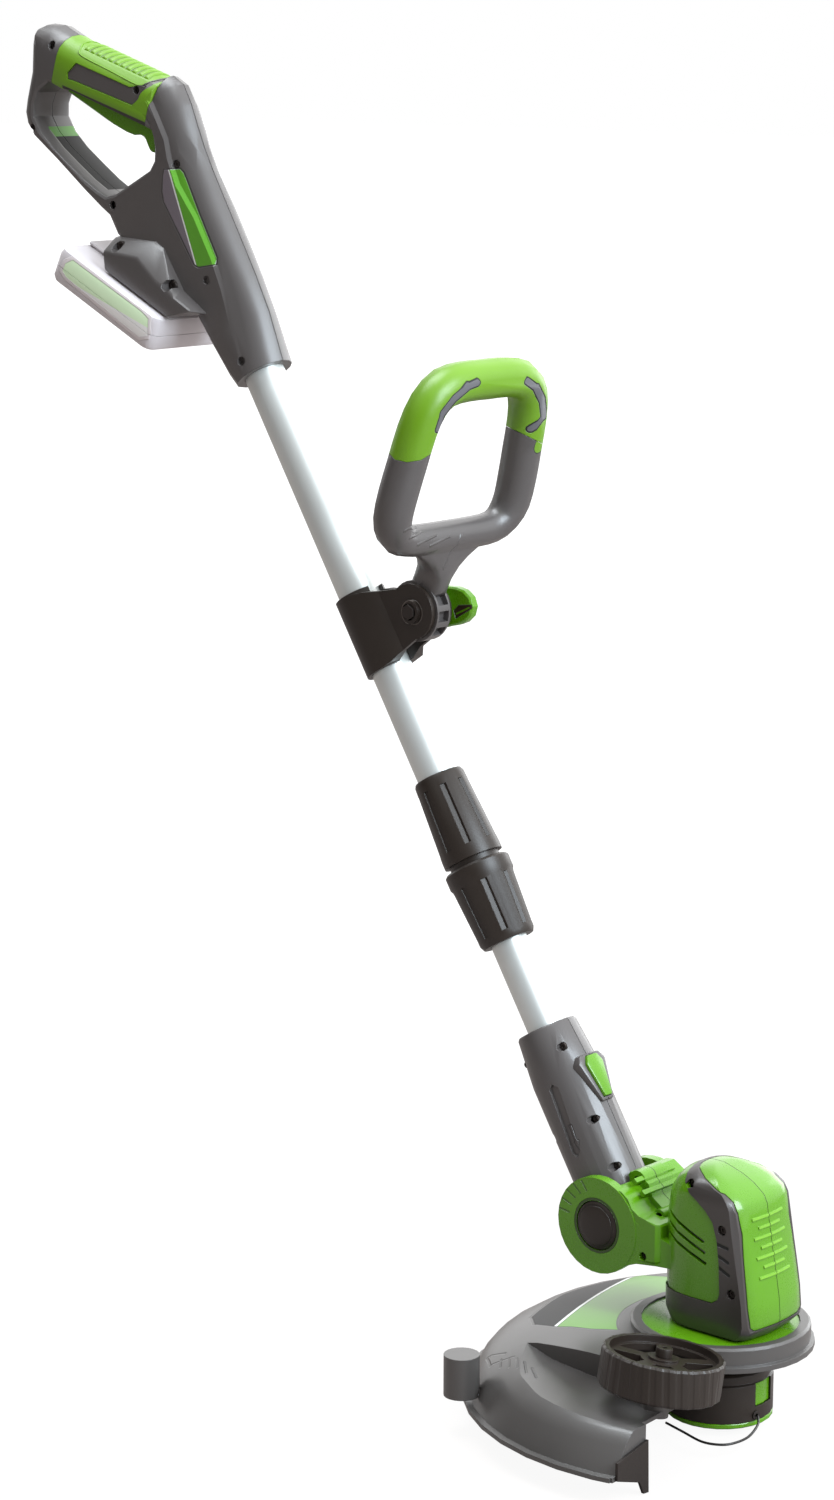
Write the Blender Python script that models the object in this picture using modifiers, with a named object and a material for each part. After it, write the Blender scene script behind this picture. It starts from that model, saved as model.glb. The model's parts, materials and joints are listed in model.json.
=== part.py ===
"""Cordless string trimmer: rear handle, telescopic shaft, loop handle and tilting cutting head.

Sizes are in millimetres and become metres in the meshes. The trimmer's origin is the middle of
the rear grip, +X points from the user to the cutting head and +Z is up along the spool's axis.
Parts on the shaft are drawn in the shaft's own frame: x forward of the shaft, y across it and
z up the shaft, with the head's tilt axis at its origin. Parts of the head are drawn round the
spool's axis, with z = 0 on top of the turntable disc.
"""

import math

import bmesh
import bpy
from mathutils import Matrix, Vector

MM = 0.001
OBJECT_NAME = "string_trimmer"
GAP = 0.3                        # clearance between two pieces that touch

# Frames
SHAFT_LEAN = 31.5                # degrees between the shaft and the spool's axis
GRIP_MIDDLE = (-20.7, 854.5)     # middle of the rear grip, forward of the shaft and up it
PIVOT_FROM_SPOOL = (-77.0, 52.3)  # tilt axis from the spool's axis, and above the disc

# Telescopic shaft
TUBE_R = 14.0
TUBE_WALL = 1.2
TUBE_LOW = 232.0
TUBE_TOP = 690.0
INNER_TUBE_R = 12.5
INNER_TUBE_WALL = 1.2
INNER_TUBE_LOW = 34.0
INNER_TUBE_TOP = 470.0
TUBE_SIDES = 24

# Collar that locks the telescope
SLEEVE_LOW = 252.0
SLEEVE_TOP = 312.0
SLEEVE_TOP_R = 17.3
SLEEVE_LOW_R = 20.3
FLUTES = 8
FLUTE_DEPTH = 1.5
THREAD_R = 17.2
THREAD_LENGTH = 28.0
NUT_LOW = 193.0
NUT_TOP_R = 22.4
NUT_LOW_R = 19.0
COLLET_LENGTH = 18.0
COLLET_WALL = 3.0

# Rear housing
HOUSING_HALF = 18.0              # half the width across the flat sides
HOUSING_WALL = 2.5
HOUSING_LOW = 612.0
RIM_R = 20.0
GRIP_ANGLE = 131.1               # degrees from forward to the grip's rear end
GRIP_DEPTH = 35.0
GRIP_LENGTH = 92.0
GRIP_SKIN = 3.0
GRIP_TOP = 16.0                  # arched top of the grip above its middle line
GRIP_SPRING = 2.0                # height where the arch begins
FOOT_HALF = 31.0

# Battery
BATTERY_ANGLE = -57.3            # degrees from forward to the pack's front end
BATTERY_LENGTH = 106.5
BATTERY_HEIGHT = 26.0
BATTERY_HALF = 38.0
BATTERY_WALL = 2.2
BATTERY_REAR = (-93.45, 764.8)    # upper rear corner of the pack, forward and up the shaft
CELL_R = 9.2
CELL_COUNT = 5

SCREW_HOLE_R = 3.2
SCREW_HOLE_DEPTH = 5.0


def rgb(red, green, blue):
    """An 8-bit sRGB colour as linear values."""
    return tuple(((c / 255.0 + 0.055) / 1.055) ** 2.4 for c in (red, green, blue)) + (1.0,)


FINISHES = {
    "dark_shell": (rgb(92, 88, 86), 0.45, 0.0),
    "green_shell": (rgb(110, 190, 30), 0.35, 0.0),
    "green_rubber": (rgb(125, 200, 45), 0.6, 0.0),
    "black_plastic": (rgb(45, 40, 36), 0.5, 0.0),
    "guard_plastic": (rgb(100, 100, 98), 0.5, 0.0),
    "aluminium_tube": (rgb(205, 210, 208), 0.35, 0.9),
    "steel": (rgb(150, 150, 150), 0.35, 1.0),
    "brass": (rgb(190, 150, 80), 0.35, 1.0),
    "pack_shell": (rgb(205, 200, 196), 0.5, 0.0),
    "pack_cell": (rgb(120, 160, 190), 0.4, 0.0),
    "line_nylon": (rgb(40, 38, 36), 0.4, 0.0),
}


def clear_scene():
    for item in list(bpy.data.objects):
        bpy.data.objects.remove(item, do_unlink=True)


def make_collection(name):
    group = bpy.data.collections.new(name)
    bpy.context.scene.collection.children.link(group)
    return group


clear_scene()
PARTS = make_collection(OBJECT_NAME)
CUTTERS = make_collection("cutters")


def frame_empty(name, parent=None, place=(0, 0, 0), turn=None):
    """An empty that carries parts; turn is a rotation matrix and place is in millimetres."""
    empty = bpy.data.objects.new(name, None)
    PARTS.objects.link(empty)
    empty.parent = parent
    empty.matrix_local = Matrix.Translation(Vector(place) * MM) @ (turn or Matrix.Identity(4))
    return empty


LEAN = Matrix.Rotation(-math.radians(SHAFT_LEAN), 4, "Y")
GRIP_POINT = Vector((GRIP_MIDDLE[0], 0, GRIP_MIDDLE[1]))
PIVOT = -(LEAN @ GRIP_POINT)
SHAFT = frame_empty("shaft_frame", None, PIVOT, LEAN)
TILT = frame_empty("tilt_frame", None, PIVOT)
HEAD = frame_empty("head_frame", TILT, (-PIVOT_FROM_SPOOL[0], 0, -PIVOT_FROM_SPOOL[1]))


def finish_material(name):
    """The Principled material of one finish, made once."""
    material = bpy.data.materials.get(name)
    if material is None:
        colour, roughness, metallic = FINISHES[name]
        material = bpy.data.materials.new(name)
        material.use_nodes = True
        material.diffuse_color = colour
        shader = material.node_tree.nodes["Principled BSDF"]
        shader.inputs["Base Color"].default_value = colour
        shader.inputs["Roughness"].default_value = roughness
        shader.inputs["Metallic"].default_value = metallic
    return material


def from_mesh(name, mesh):
    solid = bpy.data.objects.new(name, mesh)
    bpy.context.scene.collection.objects.link(solid)
    return solid


def from_bmesh(name, shape):
    mesh = bpy.data.meshes.new(name)
    shape.to_mesh(mesh)
    shape.free()
    return from_mesh(name, mesh)


def baked(solid, weld=2e-7):
    """The mesh that a solid's modifiers make, with what they leave loose welded."""
    bpy.context.view_layer.update()
    graph = bpy.context.evaluated_depsgraph_get()
    mesh = bpy.data.meshes.new_from_object(solid.evaluated_get(graph))
    shape = bmesh.new()
    shape.from_mesh(mesh)
    bmesh.ops.remove_doubles(shape, verts=shape.verts, dist=weld)
    bmesh.ops.dissolve_degenerate(shape, edges=shape.edges, dist=weld)
    bmesh.ops.connect_verts_nonplanar(shape, angle_limit=math.radians(0.2), faces=shape.faces)
    shape.to_mesh(mesh)
    shape.free()
    return mesh


def freeze(solid):
    """Apply a solid's modifiers."""
    mesh = baked(solid)
    solid.modifiers.clear()
    solid.data = mesh
    return solid


def measure(mesh):
    """A mesh's volume, and whether it is closed."""
    shape = bmesh.new()
    shape.from_mesh(mesh)
    volume = shape.calc_volume()
    closed = all(e.is_manifold for e in shape.edges)
    shape.free()
    return volume, closed


def sound(mesh, first, second, operation):
    """Whether a Boolean's result is closed and of a size that it can have."""
    volume, closed = measure(mesh)
    a = first[0]
    b = second[0]
    spare = 2e-3 * a
    if operation == "UNION":
        low, high = max(a, b) - spare, a + b + spare
    elif operation == "INTERSECT":
        low, high = spare, min(a, b) + spare
    else:
        low, high = max(a - b - spare, spare), a + spare
    return closed and low <= volume <= high


def combine(solid, tool, operation="DIFFERENCE", solvers=("EXACT", "MANIFOLD")):
    """Cut, join or intersect a solid with a tool, which stays as a hidden guide."""
    first = measure(solid.data)
    second = measure(tool.data)
    step = solid.modifiers.new(operation.lower(), "BOOLEAN")
    step.operation = operation
    step.object = tool
    for solver in solvers:
        step.solver = solver
        mesh = baked(solid)
        if sound(mesh, first, second, operation):
            break
    else:
        print("unsound", operation.lower(), solid.name, tool.name)
    solid.modifiers.clear()
    solid.data = mesh
    for group in list(tool.users_collection):
        group.objects.unlink(tool)
    CUTTERS.objects.link(tool)
    tool.hide_render = True
    tool.display_type = "WIRE"
    return solid


def join(solid, tool):
    return combine(solid, tool, "UNION")


def keep_inside(solid, tool):
    return combine(solid, tool, "INTERSECT")


def soften(solid, width, segments=2, angle=40.0):
    """Round the sharp edges of a solid."""
    step = solid.modifiers.new("soften", "BEVEL")
    step.width = width * MM
    step.segments = segments
    step.limit_method = "ANGLE"
    step.angle_limit = math.radians(angle)
    step.harden_normals = False
    return freeze(solid)


def copy_of(solid, name):
    return from_mesh(name, solid.data.copy())


def turned(name, profile, sides=32, closed=False):
    """A turned solid about z from (radius, height) points, outer side top to bottom."""
    shape = bmesh.new()
    points = [shape.verts.new((r * MM, 0, z * MM)) for r, z in profile]
    pairs = list(zip(points, points[1:]))
    if closed:
        pairs.append((points[-1], points[0]))
    for start, end in pairs:
        shape.edges.new((start, end))
    solid = from_bmesh(name, shape)
    step = solid.modifiers.new("turn", "SCREW")
    step.steps = sides
    step.render_steps = sides
    step.use_merge_vertices = True
    step.merge_threshold = 1e-5
    return freeze(solid)


def ring(name, outer, inner, low, high, sides=32):
    """A plain tube about z."""
    return turned(name, [(outer, high), (outer, low), (inner, low), (inner, high)], sides, closed=True)


def rod(name, radius, low, high, sides=20):
    return turned(name, [(0, high), (radius, high), (radius, low), (0, low)], sides)


def aim(solid, axis, place=(0, 0, 0)):
    """Turn a solid drawn about z so that it runs along an axis from a place."""
    turn = Vector((0, 0, 1)).rotation_difference(Vector(axis)).to_matrix().to_4x4()
    solid.data.transform(Matrix.Translation(Vector(place) * MM) @ turn)
    return solid


def cross_rod(name, radius, place, low, high, sides=20):
    """A rod across the trimmer: its axis is y through a place given as (x, z)."""
    solid = rod(name, radius, -high, -low, sides)
    return aim(solid, (0, -1, 0), (place[0], 0, place[1]))


def block(name, low, high):
    """A box between two corners."""
    shape = bmesh.new()
    bmesh.ops.create_cube(shape, size=1.0)
    low = Vector(low) * MM
    high = Vector(high) * MM
    size = high - low
    bmesh.ops.scale(shape, vec=size, verts=shape.verts)
    bmesh.ops.translate(shape, vec=(low + high) / 2, verts=shape.verts)
    return from_bmesh(name, shape)


def slab(name, outlines, near, far):
    """A flat outline in the x, z plane, with any further outlines as holes, between two y values."""
    curve = bpy.data.curves.new(name, "CURVE")
    curve.dimensions = "2D"
    curve.fill_mode = "BOTH"
    curve.extrude = abs(far - near) / 2 * MM
    for outline in outlines:
        line = curve.splines.new("POLY")
        line.points.add(len(outline) - 1)
        for point, (x, z) in zip(line.points, outline):
            point.co = (x * MM, z * MM, 0, 1)
        line.use_cyclic_u = True
    guide = from_mesh(name, curve)
    bpy.context.view_layer.update()
    graph = bpy.context.evaluated_depsgraph_get()
    mesh = bpy.data.meshes.new_from_object(guide.evaluated_get(graph))
    bpy.data.objects.remove(guide)
    shape = bmesh.new()
    shape.from_mesh(mesh)
    bmesh.ops.remove_doubles(shape, verts=shape.verts, dist=1e-6)
    stand = Matrix.Rotation(math.pi / 2, 4, "X")
    bmesh.ops.transform(shape, matrix=stand, verts=shape.verts)
    bmesh.ops.translate(shape, vec=(0, (near + far) / 2 * MM, 0), verts=shape.verts)
    bmesh.ops.recalc_face_normals(shape, faces=shape.faces)
    if len(outlines) == 1:
        bmesh.ops.dissolve_limit(shape, angle_limit=math.radians(0.5), verts=shape.verts,
                                 edges=shape.edges, delimit=set())
    return from_bmesh(name, shape)


def loft(name, sections, closed=False):
    """A skin through unlike sections of as many points each, given in millimetres."""
    shape = bmesh.new()
    loops = [[shape.verts.new(Vector(p) * MM) for p in section] for section in sections]
    count = len(loops[0])
    pairs = list(zip(loops, loops[1:]))
    if closed:
        pairs.append((loops[-1], loops[0]))
    for lower, upper in pairs:
        for i in range(count):
            j = (i + 1) % count
            shape.faces.new((lower[i], lower[j], upper[j], upper[i]))
    if not closed:
        shape.faces.new(list(reversed(loops[0])))
        shape.faces.new(loops[-1])
    bmesh.ops.recalc_face_normals(shape, faces=shape.faces)
    bmesh.ops.connect_verts_nonplanar(shape, angle_limit=math.radians(0.2), faces=shape.faces)
    return from_bmesh(name, shape)


def smooth_path(points, steps, closed=False):
    """Points on a Catmull-Rom curve through the given points."""
    points = [Vector(p) for p in points]
    count = len(points)
    out = []
    spans = count if closed else count - 1
    for i in range(spans):
        if closed:
            a, b, c, d = (points[(i + k - 1) % count] for k in range(4))
        else:
            a = points[max(i - 1, 0)]
            b = points[i]
            c = points[i + 1]
            d = points[min(i + 2, count - 1)]
        for k in range(steps):
            t = k / steps
            out.append(0.5 * (2 * b + (c - a) * t + (2 * a - 5 * b + 4 * c - d) * t ** 2
                              + (3 * b - a - 3 * c + d) * t ** 3))
    if not closed:
        out.append(points[-1])
    return out


def oval(centre, across, up, half_across, half_up, sides, power=2.0):
    """A rounded section round a centre; a higher power makes it squarer."""
    section = []
    for i in range(sides):
        angle = 2 * math.pi * i / sides
        c = math.cos(angle)
        s = math.sin(angle)
        a = math.copysign(abs(c) ** (2 / power), c) * half_across
        b = math.copysign(abs(s) ** (2 / power), s) * half_up
        section.append(Vector(centre) + Vector(across) * a + Vector(up) * b)
    return section


def helix(name, radius, wire, turns, low, high, per_turn=9):
    """An unbroken coil spring about z."""
    curve = bpy.data.curves.new(name, "CURVE")
    curve.dimensions = "3D"
    curve.bevel_depth = wire * MM
    curve.bevel_resolution = 1
    curve.use_fill_caps = True
    line = curve.splines.new("POLY")
    count = int(turns * per_turn)
    line.points.add(count)
    for i, point in enumerate(line.points):
        angle = 2 * math.pi * i / per_turn
        z = low + wire + (high - low - 2 * wire) * i / count
        point.co = (radius * math.cos(angle) * MM, radius * math.sin(angle) * MM, z * MM, 1)
    pitch = (high - low - 2 * wire) / turns
    print(name, "least gap between turns", round(pitch - 2 * wire, 2), "mm")
    return weld_curve(from_mesh(name, curve))


def weld_curve(guide):
    """A curve object made a closed mesh object of the same name."""
    name = guide.name
    bpy.context.view_layer.update()
    graph = bpy.context.evaluated_depsgraph_get()
    mesh = bpy.data.meshes.new_from_object(guide.evaluated_get(graph))
    matrix = guide.matrix_world.copy()
    bpy.data.objects.remove(guide)
    shape = bmesh.new()
    shape.from_mesh(mesh)
    bmesh.ops.remove_doubles(shape, verts=shape.verts, dist=1e-6)
    bmesh.ops.recalc_face_normals(shape, faces=shape.faces)
    solid = from_bmesh(name, shape)
    solid.matrix_world = matrix
    return solid


def tidy(mesh, angle=0.4):
    """Merge the faces of one plane where that leaves the solid closed."""
    kept = set()
    for attempt in range(5):
        shape = bmesh.new()
        shape.from_mesh(mesh)
        volume = shape.calc_volume()
        verts = [v for v in shape.verts if tuple(v.co) not in kept]
        edges = [e for e in shape.edges if not any(tuple(v.co) in kept for v in e.verts)]
        bmesh.ops.dissolve_limit(shape, angle_limit=math.radians(angle), verts=verts, edges=edges,
                                 delimit=set())
        open_at = {tuple(v.co) for e in shape.edges if not e.is_manifold for v in e.verts}
        same = abs(shape.calc_volume() - volume) < 1e-3 * abs(volume)
        if same and not open_at:
            shape.to_mesh(mesh)
            shape.free()
            return
        shape.free()
        kept |= open_at
    print("left as it was", mesh.name)


def part(solid, name, finish, frame, origin=(0, 0, 0), sharp=32.0):
    """Name a finished solid as a part, and give it its finish, frame and own origin."""
    solid.name = name
    solid.data.name = name
    tidy(solid.data)
    solid.data.transform(Matrix.Translation(-Vector(origin) * MM))
    solid.data.materials.clear()
    solid.data.materials.append(finish_material(finish))
    solid.data.shade_smooth()
    solid.data.set_sharp_from_angle(angle=math.radians(sharp))
    for group in list(solid.users_collection):
        group.objects.unlink(solid)
    PARTS.objects.link(solid)
    solid.parent = frame
    solid.location = Vector(origin) * MM
    return solid


def halves(solid, gap=GAP):
    """The left (y < 0) and right half of a solid, with a hair's gap between them."""
    far = 600.0
    whole = measure(solid.data)[0]
    name = solid.name
    for solvers in (("EXACT",), ("MANIFOLD",)):
        left = copy_of(solid, name + "_left")
        right = copy_of(solid, name + "_right")
        combine(left, block("right_side", (-far, -gap / 2, -far), (far, far, 2 * far)), solvers=solvers)
        combine(right, block("left_side", (-far, -far, -far), (far, gap / 2, 2 * far)), solvers=solvers)
        sides = [measure(piece.data) for piece in (left, right)]
        volumes = [side[0] / whole for side in sides]
        if all(side[1] for side in sides) and 0.9 < sum(volumes) <= 1.0 and min(volumes) > 0.2:
            break
        bpy.data.objects.remove(left)
        bpy.data.objects.remove(right)
    else:
        raise RuntimeError("no clean halves of " + name)
    bpy.data.objects.remove(solid)
    return left, right


def front_slab(name, outlines, near, far):
    """Flat outlines in the y, z plane between two x values."""
    solid = slab(name, outlines, -far, -near)
    solid.data.transform(Matrix.Rotation(math.pi / 2, 4, "Z"))
    return solid


def plan_slab(name, outlines, low, high):
    """Flat outlines in the x, y plane between two heights."""
    solid = slab(name, outlines, -high, -low)
    solid.data.transform(Matrix.Rotation(-math.pi / 2, 4, "X"))
    return solid


def arc(centre, radius, start, end, steps):
    """Points on an arc, in degrees from the first axis."""
    points = []
    for i in range(steps + 1):
        angle = math.radians(start + (end - start) * i / steps)
        points.append((centre[0] + radius * math.cos(angle), centre[1] + radius * math.sin(angle)))
    return points


def inset(outline, depth):
    """The outline moved inwards, each side by the same depth."""
    area = sum(a[0] * b[1] - b[0] * a[1] for a, b in zip(outline, outline[1:] + outline[:1]))
    sign = 1 if area > 0 else -1
    count = len(outline)
    lines = []
    for i in range(count):
        a = Vector(outline[i])
        b = Vector(outline[(i + 1) % count])
        along = (b - a).normalized()
        lines.append((a + Vector((-along.y, along.x)) * depth * sign, along))
    points = []
    for i in range(count):
        (p, d), (q, e) = lines[i - 1], lines[i]
        cross = d.x * e.y - d.y * e.x
        if abs(cross) < 1e-6:
            points.append(tuple(q))
            continue
        r = q - p
        points.append(tuple(p + d * ((r.x * e.y - r.y * e.x) / cross)))
    return points


def rounded_hole(name, outline, half, radius, steps=2):
    """A cutter through a flat body whose edges it leaves rounded."""
    sections = []
    for side in (-1, 1):
        turns = range(steps + 1)
        for i in turns if side > 0 else reversed(turns):
            angle = math.pi / 2 * i / steps
            y = side * (half - radius + radius * math.sin(angle))
            points = inset(outline, -radius * (1 - math.cos(angle)))
            if i == steps:
                y += side * 0.5
            sections.append([(x, y, z) for x, z in points])
    return loft(name, sections)


def ribbed(name, profile, count, depth, frame=2):
    """A solid through rings of (radius, height), with shallow grooves down its side."""
    sections = []
    steps = count * frame
    for radius, z in profile:
        section = []
        for i in range(steps):
            angle = 2 * math.pi * i / steps
            r = radius - (depth if i % frame == 0 else 0.0)
            section.append((r * math.cos(angle), r * math.sin(angle), z))
        sections.append(section)
    return loft(name, sections)


def flute(solid, count, low, high, width, depth, phase=0.0):
    """Cut grooves down a turned solid; low and high are (radius, height) at the grooves' ends."""
    for i in range(count):
        angle = 2 * math.pi * (i + phase) / count
        out = Vector((math.cos(angle), math.sin(angle), 0))
        start = out * (low[0] + width - depth) + Vector((0, 0, low[1]))
        end = out * (high[0] + width - depth) + Vector((0, 0, high[1]))
        length = (end - start).length
        tool = aim(rod("flute", width, 0, length, 6), end - start, start)
        combine(solid, tool)
    return solid


def screw_hole(solid, place, face, depth=SCREW_HOLE_DEPTH, radius=SCREW_HOLE_R):
    """A screw's recess in the near side of a solid, from its face inwards."""
    low = min(face - 2 * math.copysign(1, -face), face + depth * math.copysign(1, -face))
    high = max(face - 2 * math.copysign(1, -face), face + depth * math.copysign(1, -face))
    return combine(solid, cross_rod("screw_recess", radius, place, low, high, 8))


def build_tubes():
    upper = ring("upper_tube", TUBE_R, TUBE_R - TUBE_WALL, TUBE_LOW, TUBE_TOP, TUBE_SIDES)
    part(upper, "upper_tube", "aluminium_tube", SHAFT)
    low = INNER_TUBE_LOW
    lower = ring("lower_tube", INNER_TUBE_R, INNER_TUBE_R - INNER_TUBE_WALL, low, INNER_TUBE_TOP,
                 TUBE_SIDES)
    part(lower, "lower_tube", "aluminium_tube", SHAFT, (0, 0, low))


def build_collar():
    bore = TUBE_R + GAP
    slip = INNER_TUBE_R + GAP
    thread_low = SLEEVE_LOW - THREAD_LENGTH
    sleeve = turned("collar_sleeve", [
        (SLEEVE_TOP_R - 1.0, SLEEVE_TOP), (SLEEVE_TOP_R, SLEEVE_TOP - 2), (SLEEVE_LOW_R, SLEEVE_LOW + 5),
        (SLEEVE_LOW_R, SLEEVE_LOW), (THREAD_R, SLEEVE_LOW), (THREAD_R, thread_low),
        (slip, thread_low), (slip, TUBE_LOW - GAP), (bore, TUBE_LOW - GAP), (bore, SLEEVE_TOP)], 24, True)
    flute(sleeve, FLUTES, (SLEEVE_LOW_R - 0.2, SLEEVE_LOW + 9), (SLEEVE_TOP_R + 0.2, SLEEVE_TOP - 8),
          3.2, FLUTE_DEPTH)
    part(sleeve, "collar_sleeve", "dark_shell", SHAFT)

    top = SLEEVE_LOW - 4
    seat = thread_low - GAP
    collet_low = seat - COLLET_LENGTH - GAP
    room = THREAD_R + GAP
    taper = slip + COLLET_WALL + GAP
    nut = turned("collar_nut", [
        (NUT_TOP_R - 1.5, top), (NUT_TOP_R, top - 1.5), (NUT_TOP_R, top - 10), (NUT_TOP_R - 1, top - 12),
        (NUT_LOW_R, NUT_LOW + 3), (NUT_LOW_R - 1.5, NUT_LOW),
        (slip + GAP, NUT_LOW), (slip + GAP, collet_low - GAP), (taper - 0.9, collet_low - GAP),
        (taper, seat), (room, seat), (room, top)], 24, True)
    flute(nut, FLUTES, (NUT_LOW_R + 0.1, NUT_LOW + 6), (NUT_TOP_R - 1.0, top - 13), 3.4, FLUTE_DEPTH)
    part(nut, "collar_nut", "dark_shell", SHAFT, (0, 0, NUT_LOW))

    collet = turned("collar_collet", [
        (taper - GAP, seat - GAP), (taper - GAP - 0.9, collet_low), (slip, collet_low),
        (slip, seat - GAP)], 24, True)
    combine(collet, block("collet_slit", (0, -1.2, collet_low - 5), (30, 1.2, seat + 5)))
    part(collet, "collar_collet", "black_plastic", SHAFT)


# Battery frame: b runs along the pack towards its front end, m up out of it into the housing

BATTERY_B = Vector((math.cos(math.radians(BATTERY_ANGLE)), math.sin(math.radians(BATTERY_ANGLE))))
BATTERY_M = Vector((-BATTERY_B.y, BATTERY_B.x))


def bm(b, m):
    """A point of the battery frame, counted from the pack's upper rear corner, as (x, z)."""
    return tuple(Vector(BATTERY_REAR) + BATTERY_B * b + BATTERY_M * m)


def battery_slab(name, low, high, half):
    """A box in the battery frame between (b, m) corners, as wide as twice the half width."""
    near, far = half if isinstance(half, tuple) else (-half, half)
    corners = [bm(low[0], low[1]), bm(high[0], low[1]), bm(high[0], high[1]), bm(low[0], high[1])]
    return slab(name, [corners], near, far)


def battery_loft(name, sections):
    """A skin through upright sections given as (m, b start, b end, half width, corner)."""
    loops = []
    for m, start, end, half, corner in sections:
        loop = []
        for cx, cy, turn in ((end - corner, half - corner, 0), (start + corner, half - corner, 90),
                             (start + corner, corner - half, 180), (end - corner, corner - half, 270)):
            for b, y in arc((cx, cy), corner, turn, turn + 90, 4):
                x, z = bm(b, m)
                loop.append((x, y, z))
        loops.append(loop)
    return loft(name, loops)


GRIP_G = Vector((-math.cos(math.radians(GRIP_ANGLE)), -math.sin(math.radians(GRIP_ANGLE))))
GRIP_N = Vector((-GRIP_G.y, GRIP_G.x))
GRIP_HALF_LENGTH = GRIP_LENGTH / 2
GRIP_R = GRIP_DEPTH / 2


def td(t, d):
    """A point t along the grip from its rear end and d above its middle line, as (x, z)."""
    return tuple(Vector(GRIP_MIDDLE) + GRIP_G * (t - GRIP_HALF_LENGTH) + GRIP_N * d)


def neck_section(z, back, edge, front, half, corner, nose):
    """A section of the neck: a rounded back, sides that taper to the nose, and a half-oval nose."""
    points = [(edge - 2.5, -half, z)]
    points += [(edge + (front - edge) * math.cos(a), nose * math.sin(a), z)
               for a in (math.radians(-90 + 22.5 * i) for i in range(9))]
    points.append((edge - 2.5, half, z))
    for x, y in arc((back + corner, half - corner), corner, 90, 180, 3):
        points.append((x, y, z))
    for x, y in arc((back + corner, corner - half), corner, 180, 270, 3):
        points.append((x, y, z))
    return points


# Battery foot: the plane of its underside, its rear and front ends, and its rail channel
FOOT_M = 0.9
FOOT_REAR = 40.5
FOOT_FRONT = 106.5
CHANNEL_FRONT = 97.5
RAIL_NECK = 21.0
RAIL_FLANGE = 25.0
RAIL_LIP = 4.0
RAIL_TOP = 9.0
RAIL_START = 58.5
LATCH_HALF = 12.0
LATCH_TRAVEL = 3.2


def grip_bar(name, stations, half, bottom, spring):
    """A bar along the grip, flat at the sides and arched over the top; stations are (t, top)."""
    sections = []
    for t, top in stations:
        line = [(-half, bottom)]
        for i in range(5):
            angle = math.pi / 2 * i / 4
            line.append((-half * math.cos(angle), spring + (top - spring) * math.sin(angle)))
        line += [(-y, d) for y, d in reversed(line[:-1])]
        sections.append([(td(t, d)[0], y, td(t, d)[1]) for y, d in line])
    return loft(name, sections)


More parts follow.
